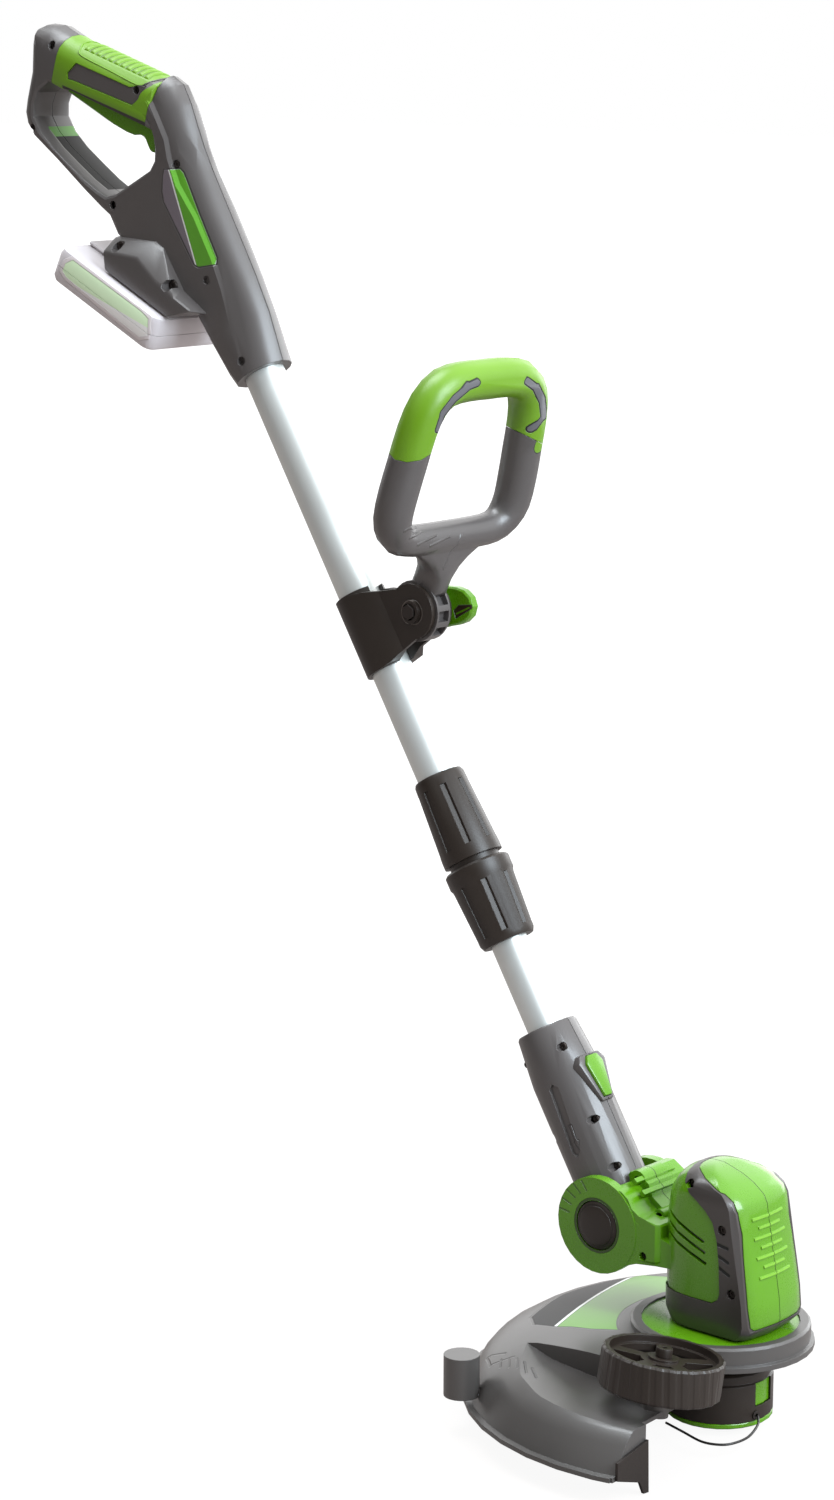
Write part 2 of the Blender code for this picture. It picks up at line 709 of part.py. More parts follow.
def build_rear_housing():
    half = HOUSING_HALF
    wall = HOUSING_WALL
    opening = [(-83, 869), (-87.5, 862), (-87, 850), (-82, 834), (-74, 816), (-66, 799), (-59, 787),
               (-54, 780), (-46, 777), (-8, 774), (-1, 777), (4, 784), (7, 792),
               td(111, -GRIP_R), td(25, -GRIP_R), td(16, -GRIP_R - 1.5), td(4, -GRIP_R - 1), (-75, 874)]
    outline = [td(102, GRIP_R + 3), td(4, GRIP_R + 3), td(-9, 22), (-50, 914), (-56.5, 912), (-63, 905.5),
               (-74, 890), (-89, 876.5), (-95, 870), (-97.5, 862), (-96.5, 851), (-85, 825), (-72, 793),
               (-64, 775), (-60, 767), (-60, 752), (-50, 738), (8, 738), (8, 752), (9, 771),
               (13, 790), (13, 806), td(104, 2)]
    body = slab("rear_housing", [outline], -half, half)
    soften(body, 5.5, 2)
    combine(body, rounded_hole("handle_opening", opening, half, 3.5))
    neck = loft("neck", [neck_section(*row) for row in (
        (HOUSING_LOW, -RIM_R, 0, RIM_R, RIM_R, RIM_R - 0.5, RIM_R),
        (622, -20.5, 2, 21.8, 19.6, 15, 19),
        (645, -21, 6.5, 26, 18.6, 9, 17.2),
        (672, -22, 12, 28, half, 5, 16),
        (694, -29, 14.5, 28.6, half, 4, 15.8),
        (725, -46, 15, 29.3, half, 4, 15.8),
        (752, -59, 11.5, 30, half, 4, 15.5),
        (772, -56, 14, 31.5, half, 4, 15.5))])
    column = loft("column", [neck_section(*row) for row in (
        (765, -8, 12, 30.8, half, 4, 15.5),
        (783, 5, 18, 33.2, half, 4, 15.5),
        (799, 8, 18.5, 35.8, half, 3, 15.5),
        (814, 8, 18, 36.5, half - 0.5, 3, 15),
        (824, 9, 17.5, 31, half - 3, 3, 12),
        (829, 11, 17, 25, half - 7, 2, 8))])
    fill = [(4, 750), (7.5, 750), (11, 772), (15, 784), (15.5, 800), (14.5, 814), (6, 814), (13, 794),
            (12, 780)]
    join(column, slab("column_side", [fill], -half, half))
    rear_low = bm(FOOT_REAR, FOOT_M)
    front_low = bm(FOOT_FRONT, FOOT_M)
    face = [rear_low, (-65, 744), (-38, 723.5), (-30, 700), (-21, 683), (-12, 668), front_low]
    ridge = [rear_low, (-60, 752), (-27, 729.5), (-22.5, 721), (-21.5, 688), (-10, 664), front_low]
    sides = [(-FOOT_HALF, face), (-half - 1, ridge), (half + 1, ridge), (FOOT_HALF, face)]
    foot = loft("foot", [[(x, y, z) for x, z in line] for y, line in sides])
    soften(foot, 2.2, 2, 32)
    for piece in (neck, column, foot):
        join(body, piece)

    # Arched top along the grip and over its rear corner
    crown = [(-60, 14.0), (-24, 15.5), (-8, 19.0), (4, 17.2), (14, GRIP_TOP), (140, GRIP_TOP)]
    above = slab("above_grip", [[td(-58, -2), td(103, -2), td(103, 60), td(-58, 60)]], -half - 6, half + 6)
    combine(above, grip_bar("grip_arch", crown, half + 0.05, -40, GRIP_SPRING))
    combine(body, above)

    # Narrow core under the grip's skin
    grip_from = 7.0
    grip_to = 103.0
    skin = copy_of(body, "grip_overmould")
    zone = [td(grip_from, -GRIP_R - 8), td(grip_to, -GRIP_R - 8), td(grip_to, 40), td(grip_from, 40)]
    combine(body, slab("grip_zone", [zone], -40, 40))
    deep = GRIP_SKIN + GAP
    join(body, grip_bar("grip_core", [(grip_from - 4, GRIP_TOP - deep), (grip_to + 4, GRIP_TOP - deep)],
                        half - deep, -GRIP_R + 1.5, GRIP_SPRING))
    zone = [td(grip_from + GAP, -GRIP_R - 8), td(grip_to - GAP, -GRIP_R - 8), td(grip_to - GAP, 40),
            td(grip_from + GAP, 40)]
    keep_inside(skin, slab("skin_zone", [zone], -40, 40))
    combine(skin, grip_bar("skin_hollow", [(-20, GRIP_TOP - GRIP_SKIN), (140, GRIP_TOP - GRIP_SKIN)],
                           half - GRIP_SKIN, -40, GRIP_SPRING))
    window = [td(t, d) for t, d in ((20.5, -6), (27, 3.2), (82, 4), (90, 8.5), (95, 9), (92, -1.5),
                                    (87.5, -7),
                                    (28, -9.3), (22, -10))]
    combine(skin, slab("skin_window", [window], -40, 40))
    part(skin, "grip_overmould", "green_shell", SHAFT)

    # Dark panel flush in the skin's side windows
    panel = inset(window, GAP)
    for side in (-1, 1):
        near, far = sorted((side * (half - GRIP_SKIN - 1.0), side * (half - 0.8)))
        join(body, slab("side_panel", [panel], near, far))

    # Hollow inside
    deep = wall + 0.8
    inner = slab("handle_hollow", [inset(outline, deep), inset(opening, -deep)], -(half - wall), half - wall)
    floor = slab("hollow_limit", [[(-70, 744), (-30, 700), (40, 700), (40, 640), (-80, 640)]], -40, 40)
    combine(inner, floor)
    arch = [(t, top - wall) for t, top in crown]
    keep_inside(inner, grip_bar("hollow_arch", arch, half - wall + 0.2, -170, GRIP_SPRING))
    limit_box = [td(grip_from - 8, -GRIP_R - 6), td(grip_to + 8, -GRIP_R - 6), td(grip_to + 8, 40),
                 td(grip_from - 8, 40)]
    combine(inner, slab("grip_limit", [limit_box], -40, 40))
    deep = GRIP_SKIN + GAP + wall
    join(inner, grip_bar("core_void", [(grip_from - 9, GRIP_TOP - deep), (grip_to + 9, GRIP_TOP - deep)],
                         half - deep, -GRIP_R + 4, GRIP_SPRING))
    combine(body, inner)
    neck_void = loft("neck_void", [neck_section(*row) for row in (
        (TUBE_TOP + 4, -20, 12, 25, half - wall, 3, 13),
        (725, -34, 12, 26, half - wall, 3, 13),
        (760, -46, 10, 27, half - wall, 3, 12.5))])
    combine(body, neck_void)
    combine(body, rod("tube_bore", TUBE_R + GAP, HOUSING_LOW - 10, TUBE_TOP + GAP, TUBE_SIDES))

    # Ribs that hold the switch
    held = [td(68, -5), td(80, -5), td(80, 4), td(68, 4)]
    for side in (-1, 1):
        near, far = sorted((side * (SWITCH_HALF + GAP), side * (half - GRIP_SKIN - 1.5)))
        join(body, slab("switch_rib", [held], near, far))

    # Trigger slot, battery channel and terminal seat
    slot = [td(9.5, -30), td(113, -30), td(113, -11), td(9.5, -11)]
    combine(body, slab("trigger_slot", [slot], -(TRIGGER_HALF + GAP), TRIGGER_HALF + GAP))
    combine(body, battery_slab("channel_neck", (FOOT_REAR - 20, FOOT_M - 3), (CHANNEL_FRONT, RAIL_LIP + 0.5),
                               RAIL_NECK + GAP))
    combine(body, battery_slab("channel", (FOOT_REAR - 20, RAIL_LIP), (CHANNEL_FRONT, RAIL_TOP + GAP),
                               RAIL_FLANGE + GAP))
    combine(body, battery_slab("latch_notch", (FOOT_REAR - 20, RAIL_TOP), (55.1, RAIL_TOP + 4), 7.5))
    combine(body, battery_slab("terminal_seat", (CHANNEL_FRONT - 1, RAIL_LIP - 0.3),
                               (CHANNEL_FRONT + 8.3, RAIL_TOP + 2.3), 14.3))
    combine(body, battery_slab("foot_void", (FOOT_REAR + 14, RAIL_TOP + 7), (FOOT_REAR + 52, 32), 14))

    pin_end = TRIGGER_PIN_HALF + GAP
    pin_seat = cross_rod("trigger_pin_seat", TRIGGER_PIN_R + GAP, td(*TRIGGER_PIVOT), -pin_end, pin_end, 16)
    combine(body, pin_seat)

    left, right = halves(body)
    for place in ((-46, 894), (-93, 856), (-51, 771), (15, 765)):
        screw_hole(left, place, -half)
    screw_hole(left, td(88, 4.0), -half + 0.5)
    for place in ((1, 684), (2, 622)):
        screw_hole(left, place, -half - 1, 3.2)
    for place in ((-54, 741), (-24, 694)):
        screw_hole(left, place, -31, 9.0, 4.2)
    screw_hole(left, (17, 706), -9.0, 5.0, 3.6)
    part(left, "rear_housing_left", "dark_shell", SHAFT)
    part(right, "rear_housing_right", "dark_shell", SHAFT)

    terminal = battery_slab("battery_terminals", (CHANNEL_FRONT, RAIL_LIP),
                            (CHANNEL_FRONT + 8, RAIL_TOP + 2), 14)
    for y in (-9, 0, 9):
        join(terminal, battery_slab("blade", (CHANNEL_FRONT - 9, RAIL_LIP + 0.6),
                                    (CHANNEL_FRONT + 1, RAIL_TOP - 0.9), (y - 0.5, y + 0.5)))
    part(terminal, "battery_terminals", "black_plastic", SHAFT)


# Trigger, in grip coordinates

TRIGGER_HALF = 9.0
TRIGGER_PIVOT = (18.5, -14.2)
TRIGGER_TIP = 109.0
TRIGGER_PIN_R = 2.0
SWITCH_HALF = 6.5
TRIGGER_PIN_HALF = HOUSING_HALF - 4.5


def build_trigger():
    pin = td(*TRIGGER_PIVOT)
    outline = [td(t, d) for t, d in (
        (13, -12), (12.5, -19), (16, -21.5), (64, -28.3), (78, -29.2), (86, -28.8), (91, -26.6),
        (96, -27.0), (100, -31), (103, -33.6), (106.5, -34.6), (109, -33.2), (TRIGGER_TIP, -29),
        (107, -21), (104, -15.5), (80, -15.5), (77, -10), (71, -10), (68, -15.5), (26, -13), (20, -9.5))]
    body = slab("trigger", [outline], -TRIGGER_HALF, TRIGGER_HALF)
    soften(body, 2.0, 1)
    combine(body, cross_rod("pin_bore", TRIGGER_PIN_R + GAP, pin, -20, 20, 16))
    combine(body, cross_rod("coil_room", 7.5, pin, -3.3, 3.3, 14))
    hollow = [td(32, -12), td(32, -20), td(64, -25.5), td(84, -26), td(84, -14), td(66, -12)]
    combine(body, slab("trigger_hollow", [hollow], -TRIGGER_HALF + 2.2, TRIGGER_HALF - 2.2))
    part(body, "trigger", "green_shell", SHAFT, (pin[0], 0, pin[1]))

    shaft = cross_rod("trigger_pin", TRIGGER_PIN_R, pin, -TRIGGER_PIN_HALF, TRIGGER_PIN_HALF, 16)
    part(shaft, "trigger_pin", "steel", SHAFT)

    coil = helix("trigger_spring", 4.2, 0.55, 3, -2.8, 2.8)
    aim(coil, (0, 1, 0), (pin[0], 0, pin[1]))
    part(coil, "trigger_spring", "steel", SHAFT)

    switch = slab("trigger_switch", [[td(64, -8.6), td(84, -8.6), td(84, 6), td(64, 6)]],
                  -SWITCH_HALF, SWITCH_HALF)
    soften(switch, 0.8, 1)
    part(switch, "trigger_switch", "black_plastic", SHAFT)


def build_battery():
    half = BATTERY_HALF
    length = BATTERY_LENGTH
    low = -BATTERY_HEIGHT
    split = low * 0.52
    upper = battery_loft("upper", [
        (split + 0.15, 0, length, half, 7), (-5, 0, length, half, 7), (-1.5, 1, length - 1, half - 1.2, 7),
        (0, 3, length - 3, half - 3.5, 6)])
    combine(upper, battery_loft("upper_void", [
        (split - 1, 2.2, length - 2.2, half - 2.2, 5), (-4.4, 2.2, length - 2.2, half - 2.2, 5),
        (-4.2, 3.4, length - 3.4, half - 3.4, 5), (-3.6, 4, length - 4, half - 4, 5)]))
    rail = battery_slab("rail_neck", (RAIL_START, -1.0), (CHANNEL_FRONT - GAP, RAIL_LIP + 1), RAIL_NECK)
    join(upper, rail)
    flange = battery_slab("rail_flange", (RAIL_START, RAIL_LIP + GAP), (CHANNEL_FRONT - GAP, RAIL_TOP),
                          RAIL_FLANGE)
    join(upper, flange)
    for y in (-9, 0, 9):
        combine(upper, battery_slab("blade_slot", (CHANNEL_FRONT - 11, RAIL_LIP - 1),
                                    (CHANNEL_FRONT + 5, RAIL_TOP + 2), (y - 1.0, y + 1.0)))
    # the latch lies in a shallow bed of its own
    combine(upper, battery_slab("latch_bed", (1.5, -3.4), (26, 5), LATCH_HALF + GAP))
    combine(upper, battery_slab("latch_arm_bed", (20, -3.4), (56.0, 5), 7 + GAP))
    floor = battery_slab("latch_floor", (-0.0, -5.4), (60.0, -3.7), LATCH_HALF + 2.5)
    keep = battery_loft("pack_limit", [
        (-6, 0.6, length - 0.6, half - 0.6, 6.6), (-1.5, 1.0, length - 1, half - 1.2, 7)])
    keep_inside(floor, keep)
    join(upper, floor)
    lower = battery_loft("lower", [
        (low, 4, length - 4, half - 4, 5), (low + 1.2, 1.4, length - 1.4, half - 1.4, 6.5),
        (low + 4, 0, length, half, 7), (split - 0.15, 0, length, half, 7)])
    combine(lower, battery_loft("lower_void", [
        (low + 1.8, 4, length - 4, half - 4, 5), (low + 4, 2.2, length - 2.2, half - 2.2, 5),
        (split + 1, 2.2, length - 2.2, half - 2.2, 5)]))
    start = bm(0, 0)
    origin = (start[0], 0, start[1])
    part(upper, "battery_case_upper", "pack_shell", SHAFT, origin)
    part(lower, "battery_case_lower", "pack_shell", SHAFT, origin)

    pitch = (length - 2 * 2.2 - 0.8) / CELL_COUNT
    for i in range(CELL_COUNT):
        b = 2.6 + pitch * (i + 0.5)
        middle = bm(b, low + 1.8 + GAP + CELL_R)
        cell = cross_rod("cell", CELL_R, middle, -32.5, 32.5, 20)
        part(cell, "battery_cell_%d" % (i + 1), "pack_cell", SHAFT, origin)

    latch = battery_slab("battery_latch", (2.2, 0.3), (24, 2.8), LATCH_HALF)
    soften(latch, 0.8, 1)
    join(latch, battery_slab("latch_arm", (22, 0.3), (54.5, 2.6), 7))
    join(latch, battery_slab("latch_hook", (49.5, 1.5), (54.5, RAIL_TOP + 3), 7))
    part(latch, "battery_latch", "pack_shell", SHAFT, origin)


# Front handle and its clamp

BOLT = (44.0, 414.0)
BOLT_R = 4.0
KNOB_TURN = -24.0
KNOB_NEAR = 17.7                 # the wings clear the bracket as they turn
KNOB_FAR = 25.0
HUB_R = 20.5
HUB_HALF = 6.4
EAR_R = 18.5
EAR_HALF = 10.0
STRAP_R = 17.3
STRAP_LOW = 391.0
STRAP_HIGH = 446.0
LOOP_LOW = (90.2, 446.0)
LOOP_HIGH = (170.0, 519.0)
LOOP_R = 13.2
LOOP_CORE_R = 9.6
LOOP_SHAPE = [                   # across, up the loop, thinner by
    (0, 0, 2.7), (28, 0.2, 2.7), (44, 1.5, 2.5), (54, 7, 1.4), (59, 17, 0.4), (59, 32, 0), (57, 50, 0),
    (54.5, 70, 0), (49, 85, 0), (37.5, 94.5, 0), (19, 97, 0)]


def loop_frame():
    low = Vector((LOOP_LOW[0], 0, LOOP_LOW[1]))
    high = Vector((LOOP_HIGH[0], 0, LOOP_HIGH[1]))
    up = (high - low).normalized()
    return low, up, Vector((-up.z, 0, up.x)), (high - low).length


def loop_skin(name, radius, steps=2, sides=10):
    """The closed loop with a rounded section of one radius."""
    low, up, normal, height = loop_frame()
    scale = height / LOOP_SHAPE[-1][1]
    right = [(y, d * scale, thin) for y, d, thin in LOOP_SHAPE]
    left = [(-y, d, thin) for y, d, thin in reversed(right[1:])]
    path = smooth_path(right + [(0, height, 0)] + left, steps, closed=True)
    places = [low + Vector((0, p.x, 0)) + up * p.y for p in path]
    count = len(path)
    sections = []
    for i, point in enumerate(places):
        along = (places[(i + 1) % count] - places[i - 1]).normalized()
        across = along.cross(normal).normalized()
        r = radius - path[i].z
        sections.append(oval(point, across, normal, r, r * 1.03, sides))
    return loft(name, sections, closed=True)


def loop_zone(name, points, reach=40.0):
    """A flat outline in the loop's own plane, made a thick slab through the loop."""
    low, up, normal, height = loop_frame()
    near = [low + Vector((0, y, 0)) + up * d - normal * reach for y, d in points]
    far = [p + normal * (2 * reach) for p in near]
    return loft(name, [near, far])


def build_clamp():
    bore = TUBE_R + GAP
    strap = rod("clamp_bracket", STRAP_R, STRAP_LOW, STRAP_HIGH, 24)
    slopes = []
    for x, half, rise, fall in ((2, STRAP_R - 0.3, 0, 0), (16, STRAP_R - 1.1, 0.5, 4),
                                (25, EAR_HALF, 4, 8), (BOLT[0], EAR_HALF, 6, 15)):
        low = STRAP_LOW + rise
        high = STRAP_HIGH - fall
        slopes.append([(x, -half, low), (x, half, low), (x, half, high), (x, -half, high)])
    join(strap, loft("ears", slopes))
    join(strap, cross_rod("ear_ends", EAR_R, BOLT, -EAR_HALF, EAR_HALF, 22))
    join(strap, cross_rod("bolt_boss", 8.0, BOLT, -EAR_HALF - 2.2, -EAR_HALF + 0.5, 20))
    slot = HUB_HALF + GAP
    hub_room = cross_rod("hub_room", HUB_R + 4, BOLT, -slot, slot, 20)
    combine(strap, hub_room)
    combine(strap, block("clamp_slit", (5, -slot, STRAP_LOW - 5), (80, slot, STRAP_HIGH + 5)))
    combine(strap, rod("tube_bore", bore, STRAP_LOW - 5, STRAP_HIGH + 5, TUBE_SIDES))
    combine(strap, cross_rod("bolt_bore", BOLT_R + GAP, BOLT, -30, 30, 16))
    combine(strap, cross_rod("head_room", 5.6, BOLT, -EAR_HALF - 6, -EAR_HALF, 16))
    part(strap, "clamp_bracket", "black_plastic", SHAFT)

    bolt = cross_rod("clamp_bolt", BOLT_R, BOLT, -EAR_HALF - 1.0, 22.0, 20)
    join(bolt, cross_rod("bolt_head", 5.2, BOLT, -EAR_HALF - 3.4, -EAR_HALF - GAP, 6))
    part(bolt, "clamp_bolt", "steel", SHAFT, (BOLT[0], 0, BOLT[1]))

    # Two-winged knob on the far side
    lobes = []
    count = 28
    for i in range(count):
        angle = 2 * math.pi * i / count
        lobe = abs(math.cos(angle - math.radians(KNOB_TURN))) ** 4
        radius = 14.5 + 15.0 * lobe
        lobes.append((BOLT[0] + radius * math.cos(angle), BOLT[1] + radius * math.sin(angle)))
    near = EAR_HALF + GAP
    knob = slab("clamp_knob", [lobes], KNOB_NEAR, KNOB_FAR)
    soften(knob, 1.2, 1, 60)
    join(knob, cross_rod("knob_boss", 9.0, BOLT, near, KNOB_FAR + 0.8, 20))
    combine(knob, cross_rod("knob_bore", BOLT_R + GAP, BOLT, near - 2, 22.4, 16))
    for lobe in range(2):
        angle = math.radians(KNOB_TURN + 180 * lobe)
        for side in (-1, 1):
            x = BOLT[0] + 19.5 * math.cos(angle) - side * 2.6 * math.sin(angle)
            z = BOLT[1] + 19.5 * math.sin(angle) + side * 2.6 * math.cos(angle)
            pocket = block("knob_pocket", (-7.0, KNOB_NEAR + 2.4, -1.7), (7.0, KNOB_FAR + 6, 1.7))
            pocket.data.transform(Matrix.Translation(Vector((x, 0, z)) * MM)
                                  @ Matrix.Rotation(-angle, 4, "Y"))
            combine(knob, pocket)
    part(knob, "clamp_knob", "green_shell", SHAFT, (BOLT[0], 0, BOLT[1]))


def build_front_handle():
    low, up, normal, height = loop_frame()
    bolt = Vector((BOLT[0], 0, BOLT[1]))
    frame = loop_skin("front_handle_frame", LOOP_R)
    zone = [(-95, 54), (-70, 59.5), (-43, 70), (43, 70), (70, 59.5), (95, 54), (95, 150), (-95, 150)]
    combine(frame, loop_zone("grip_cut", zone))
    join(frame, loop_skin("loop_core", LOOP_CORE_R, 1, 8))
    reach = (low - bolt).length
    along = (low - bolt) / reach
    across = Vector((0, 1, 0))
    thick = along.cross(across).normalized()
    sections = []
    for e, half, deep in ((8, HUB_HALF, 13), (22, HUB_HALF + 0.4, 12.5), (30, 9, 12), (37, 15, 11),
                          (43, 24, 9.5), (48, 34, 8.5), (reach, 43, 7.5)):
        sections.append(oval(bolt + along * e, across, thick, half, deep, 16, 3.2))
    join(frame, loft("handle_neck", sections))
    for near, far in ((-60, -HUB_HALF), (HUB_HALF, 60)):
        combine(frame, block("beside_hub", (BOLT[0] - 40, near, BOLT[1] - 40),
                             (BOLT[0] + 12, far, BOLT[1] + 40)))
    join(frame, cross_rod("handle_hub", HUB_R, BOLT, -HUB_HALF, HUB_HALF, 28))
    combine(frame, cross_rod("hub_bore", BOLT_R + GAP, BOLT, -20, 20, 20))
    for angle in (-70, -38, -6):
        window = block("hub_window", (HUB_R - 4.5, -HUB_HALF + 1.6, -3.6), (HUB_R + 5, HUB_HALF - 1.6, 3.6))
        window.data.transform(Matrix.Translation(bolt * MM) @ Matrix.Rotation(math.radians(-angle), 4, "Y"))
        combine(frame, window)
    part(frame, "front_handle_frame", "dark_shell", SHAFT, bolt)

    grip = loop_skin("front_handle_grip", LOOP_R)
    inner = [(-95, 54.3), (-70, 59.8), (-43, 70.3), (43, 70.3), (70, 59.8), (95, 54.3), (95, 150), (-95, 150)]
    keep_inside(grip, loop_zone("grip_keep", inner))
    combine(grip, loop_skin("grip_bore", LOOP_CORE_R + GAP, 1, 8))
    part(grip, "front_handle_grip", "green_rubber", SHAFT, bolt)


# Lower housing and its turn lock

LOWER_TOP = 131.0
LOWER_R = 23.5
LOWER_TOP_R = 20.5
CHEEK_IN = 24.0
CHEEK_OUT = 31.0
CHEEK_R = 31.7
BUTTON_R = 16.0
LOCK_R = 13.0
BUTTON_FLOOR = 25.0              # floor of the recess that the tilt button sinks into
TILT_PRESS = 4.0


def build_lower_housing():
    drum_half = CHEEK_IN - 0.5
    body = turned("lower_housing", [
        (0, LOWER_TOP), (LOWER_TOP_R - 1, LOWER_TOP), (LOWER_TOP_R, LOWER_TOP - 1.5),
        (LOWER_TOP_R + 1.2, 117), (LOWER_R, 97), (LOWER_R, 1), (0, 1)], 24)
    join(body, cross_rod("drum", LOWER_R - 0.05, (0, 0), -drum_half, drum_half, 24))
    bezel = front_slab("bezel", [[(-9.5, 104), (-13.5, 98.5), (-5.5, 71.5), (5.5, 71.5), (13.5, 98.5),
                                  (9.5, 104)]], 14, 25.6)
    soften(bezel, 1.3, 2)
    join(body, bezel)
    key = [(-4.7, 102.5), (-8, 97), (-3.6, 74), (3.6, 74), (8, 97), (4.7, 102.5)]
    combine(body, front_slab("button_room", [inset(key, -GAP)], 16.5, 40))
    combine(body, rod("tube_seat", INNER_TUBE_R + GAP, INNER_TUBE_LOW - GAP, LOWER_TOP + 5, TUBE_SIDES))
    sleeve = INNER_TUBE_R + GAP + 2.6
    combine(body, ring("low_void", LOWER_R - 2.8, sleeve, 38, 67, 14))
    combine(body, cross_rod("lock_room", LOCK_R + GAP, (0, 0), -40, -12.5, 20))
    combine(body, cross_rod("drum_void", LOCK_R, (0, 0), -9.5, drum_half - 3, 14))
    join(body, cross_rod("pin_sleeve", 8.8, (0, 0), -11, drum_half - 1, 14))
    combine(body, cross_rod("pin_bore", 6.35, (0, 0), -40, 40, 14))
    left, right = halves(body)
    for place in ((17.7, 114), (18.2, 63), (18.6, 30), (-17.2, 114), (-17, 63)):
        reach = math.sqrt(max(LOWER_R ** 2 - place[0] ** 2, 0))
        screw_hole(left, place, -reach - 4, 9.0, 2.9)
    slot = [(5, 91), (1.6, 48)]
    run = (Vector(slot[1]) - Vector(slot[0])).normalized()
    side = Vector((-run.y, run.x)) * 3.3
    capsule = [tuple(Vector(slot[0]) + side), tuple(Vector(slot[0]) - run * 3.3),
               tuple(Vector(slot[0]) - side), tuple(Vector(slot[1]) - side),
               tuple(Vector(slot[1]) + run * 3.3), tuple(Vector(slot[1]) + side)]
    combine(left, slab("arrow_slot", [capsule], -40, -LOWER_R + 1.9))
    part(left, "lower_housing_left", "dark_shell", SHAFT)
    part(right, "lower_housing_right", "dark_shell", SHAFT)

    button = front_slab("turn_button", [key], 20.0, 27.5)
    soften(button, 0.9, 2)
    part(button, "turn_button", "green_shell", SHAFT, (20, 0, 90))


def build_tilt_lock():
    """Side button with its splined plug, return spring, far cap and pivot pin, round the tilt axis."""
    plate = BUTTON_FLOOR + GAP + TILT_PRESS
    button = turned("tilt_button", [
        (0, 33.2), (10, 32.6), (14.5, 31.7), (BUTTON_R, 30.6), (BUTTON_R, plate), (8.5, plate),
        (8.5, 22.4), (LOCK_R - 1.8, 22.4), (LOCK_R - 1.8, 19.0), (6.4, 19.0), (6.4, 27.0), (0, 27.0)], 24)
    teeth = 6
    for i in range(teeth):
        angle = 2 * math.pi * (i + 0.5) / teeth
        tooth = block("tooth", (LOCK_R - 3, -0.8, 19.0), (LOCK_R - 0.2, 0.8, 22.4))
        tooth.data.transform(Matrix.Rotation(angle, 4, "Z"))
        join(button, tooth)
    aim(button, (0, -1, 0))
    part(button, "tilt_button", "black_plastic", TILT)

    coil = helix("tilt_spring", 4.9, 0.5, 3, 12.8, 18.0)
    aim(coil, (0, -1, 0))
    part(coil, "tilt_spring", "steel", TILT)

    cap = turned("tilt_cap", [
        (0, 32.6), (12, 32.2), (BUTTON_R, 30.4), (BUTTON_R, 27.6), (6.3, 27.6), (6.3, 24.6), (0, 24.6)], 24)
    aim(cap, (0, 1, 0))
    part(cap, "tilt_cap", "black_plastic", TILT)
    pin = cross_rod("tilt_pin", 6.0, (0, 0), -12.2, 24.3, 20)
    part(pin, "tilt_pin", "steel", TILT)


# Motor head

HEAD_TOP = 104.5
HEAD_FLOOR = 9.5
SHELL_WALL = 2.6
HEAD_SECTIONS = [                # height, front end, ridge of the rear face, half width
    (1.5, -31, 37.5, 28.5), (7, -34, 43, 30.2), (12, -34.4, 44.3, 30.5), (25, -34.6, 43.3, 30.5),
    (40, -34.9, 40.6, 30.5), (55, -35, 37.6, 30.5), (70, -34.5, 34.8, 30.5), (85, -32.2, 32.3, 30.3),
    (90, -30, 29.7, 29.8), (96, -26, 22, 27.3), (100, -21.5, 14, 23), (103, -15, 5, 16),
    (HEAD_TOP, -9, 0, 9)]


def head_solid(name, grow_x=0.0, grow_y=0.0, low=None, high=None, step=1):
    """The motor head's smooth form, grown or shrunk all round."""
    sections = []
    middle = -3.0
    for z, front, ridge, half in HEAD_SECTIONS[::step]:
        if low is not None and z < low:
            z = low
        if high is not None and z > high:
            z = high
        if sections and abs(sections[-1][0][2] - z) < 0.01:
            if high is not None and z == high:
                continue
            sections.pop()
        side = half + grow_y
        front -= grow_x
        ridge += grow_x
        drop = min(1.0, (ridge - middle) / 30)
        near = [(ridge - 5.8 * drop, side), (ridge - 1.6 * drop, side * 0.855), (ridge, side * 0.66),
                (ridge + 1.3 * drop, side * 0.3)]
        section = [(x, -y, z) for x, y in near] + [(ridge + 1.8 * drop, 0, z)]
        section += [(x, y, z) for x, y in reversed(near)]
        for i in range(11):
            angle = math.pi / 2 + math.pi * i / 10
            c = math.cos(angle)
            s = math.sin(angle)
            section.append((middle + math.copysign(abs(c) ** 0.92, c) * (middle - front),
                            math.copysign(abs(s) ** 0.92, s) * side, z))
        sections.append(section)
    return loft(name, sections)


BAND_LEFT = [(-19, 115), (-16.5, 105), (-12, 99), (-9.5, 95.5), (-5, 91), (2, 87), (9, 82), (15, 75.5),
             (18.5, 65), (20.5, 50), (21.5, 30), (20, 25.5), (15, 22.5), (-45, 22.5), (-45, -5)]
BAND_RIGHT = [(60, -5), (60, 9), (42.4, 9), (41.9, 13), (38.8, 34.7), (35.9, 52.7), (33.1, 70.6),
              (30.4, 84), (27, 90), (20.5, 94), (11, 97), (0, 100.5), (-11, 103.5), (-13, 115)]


def region(name, outline, reach=60.0):
    return slab(name, [outline], -reach, reach)


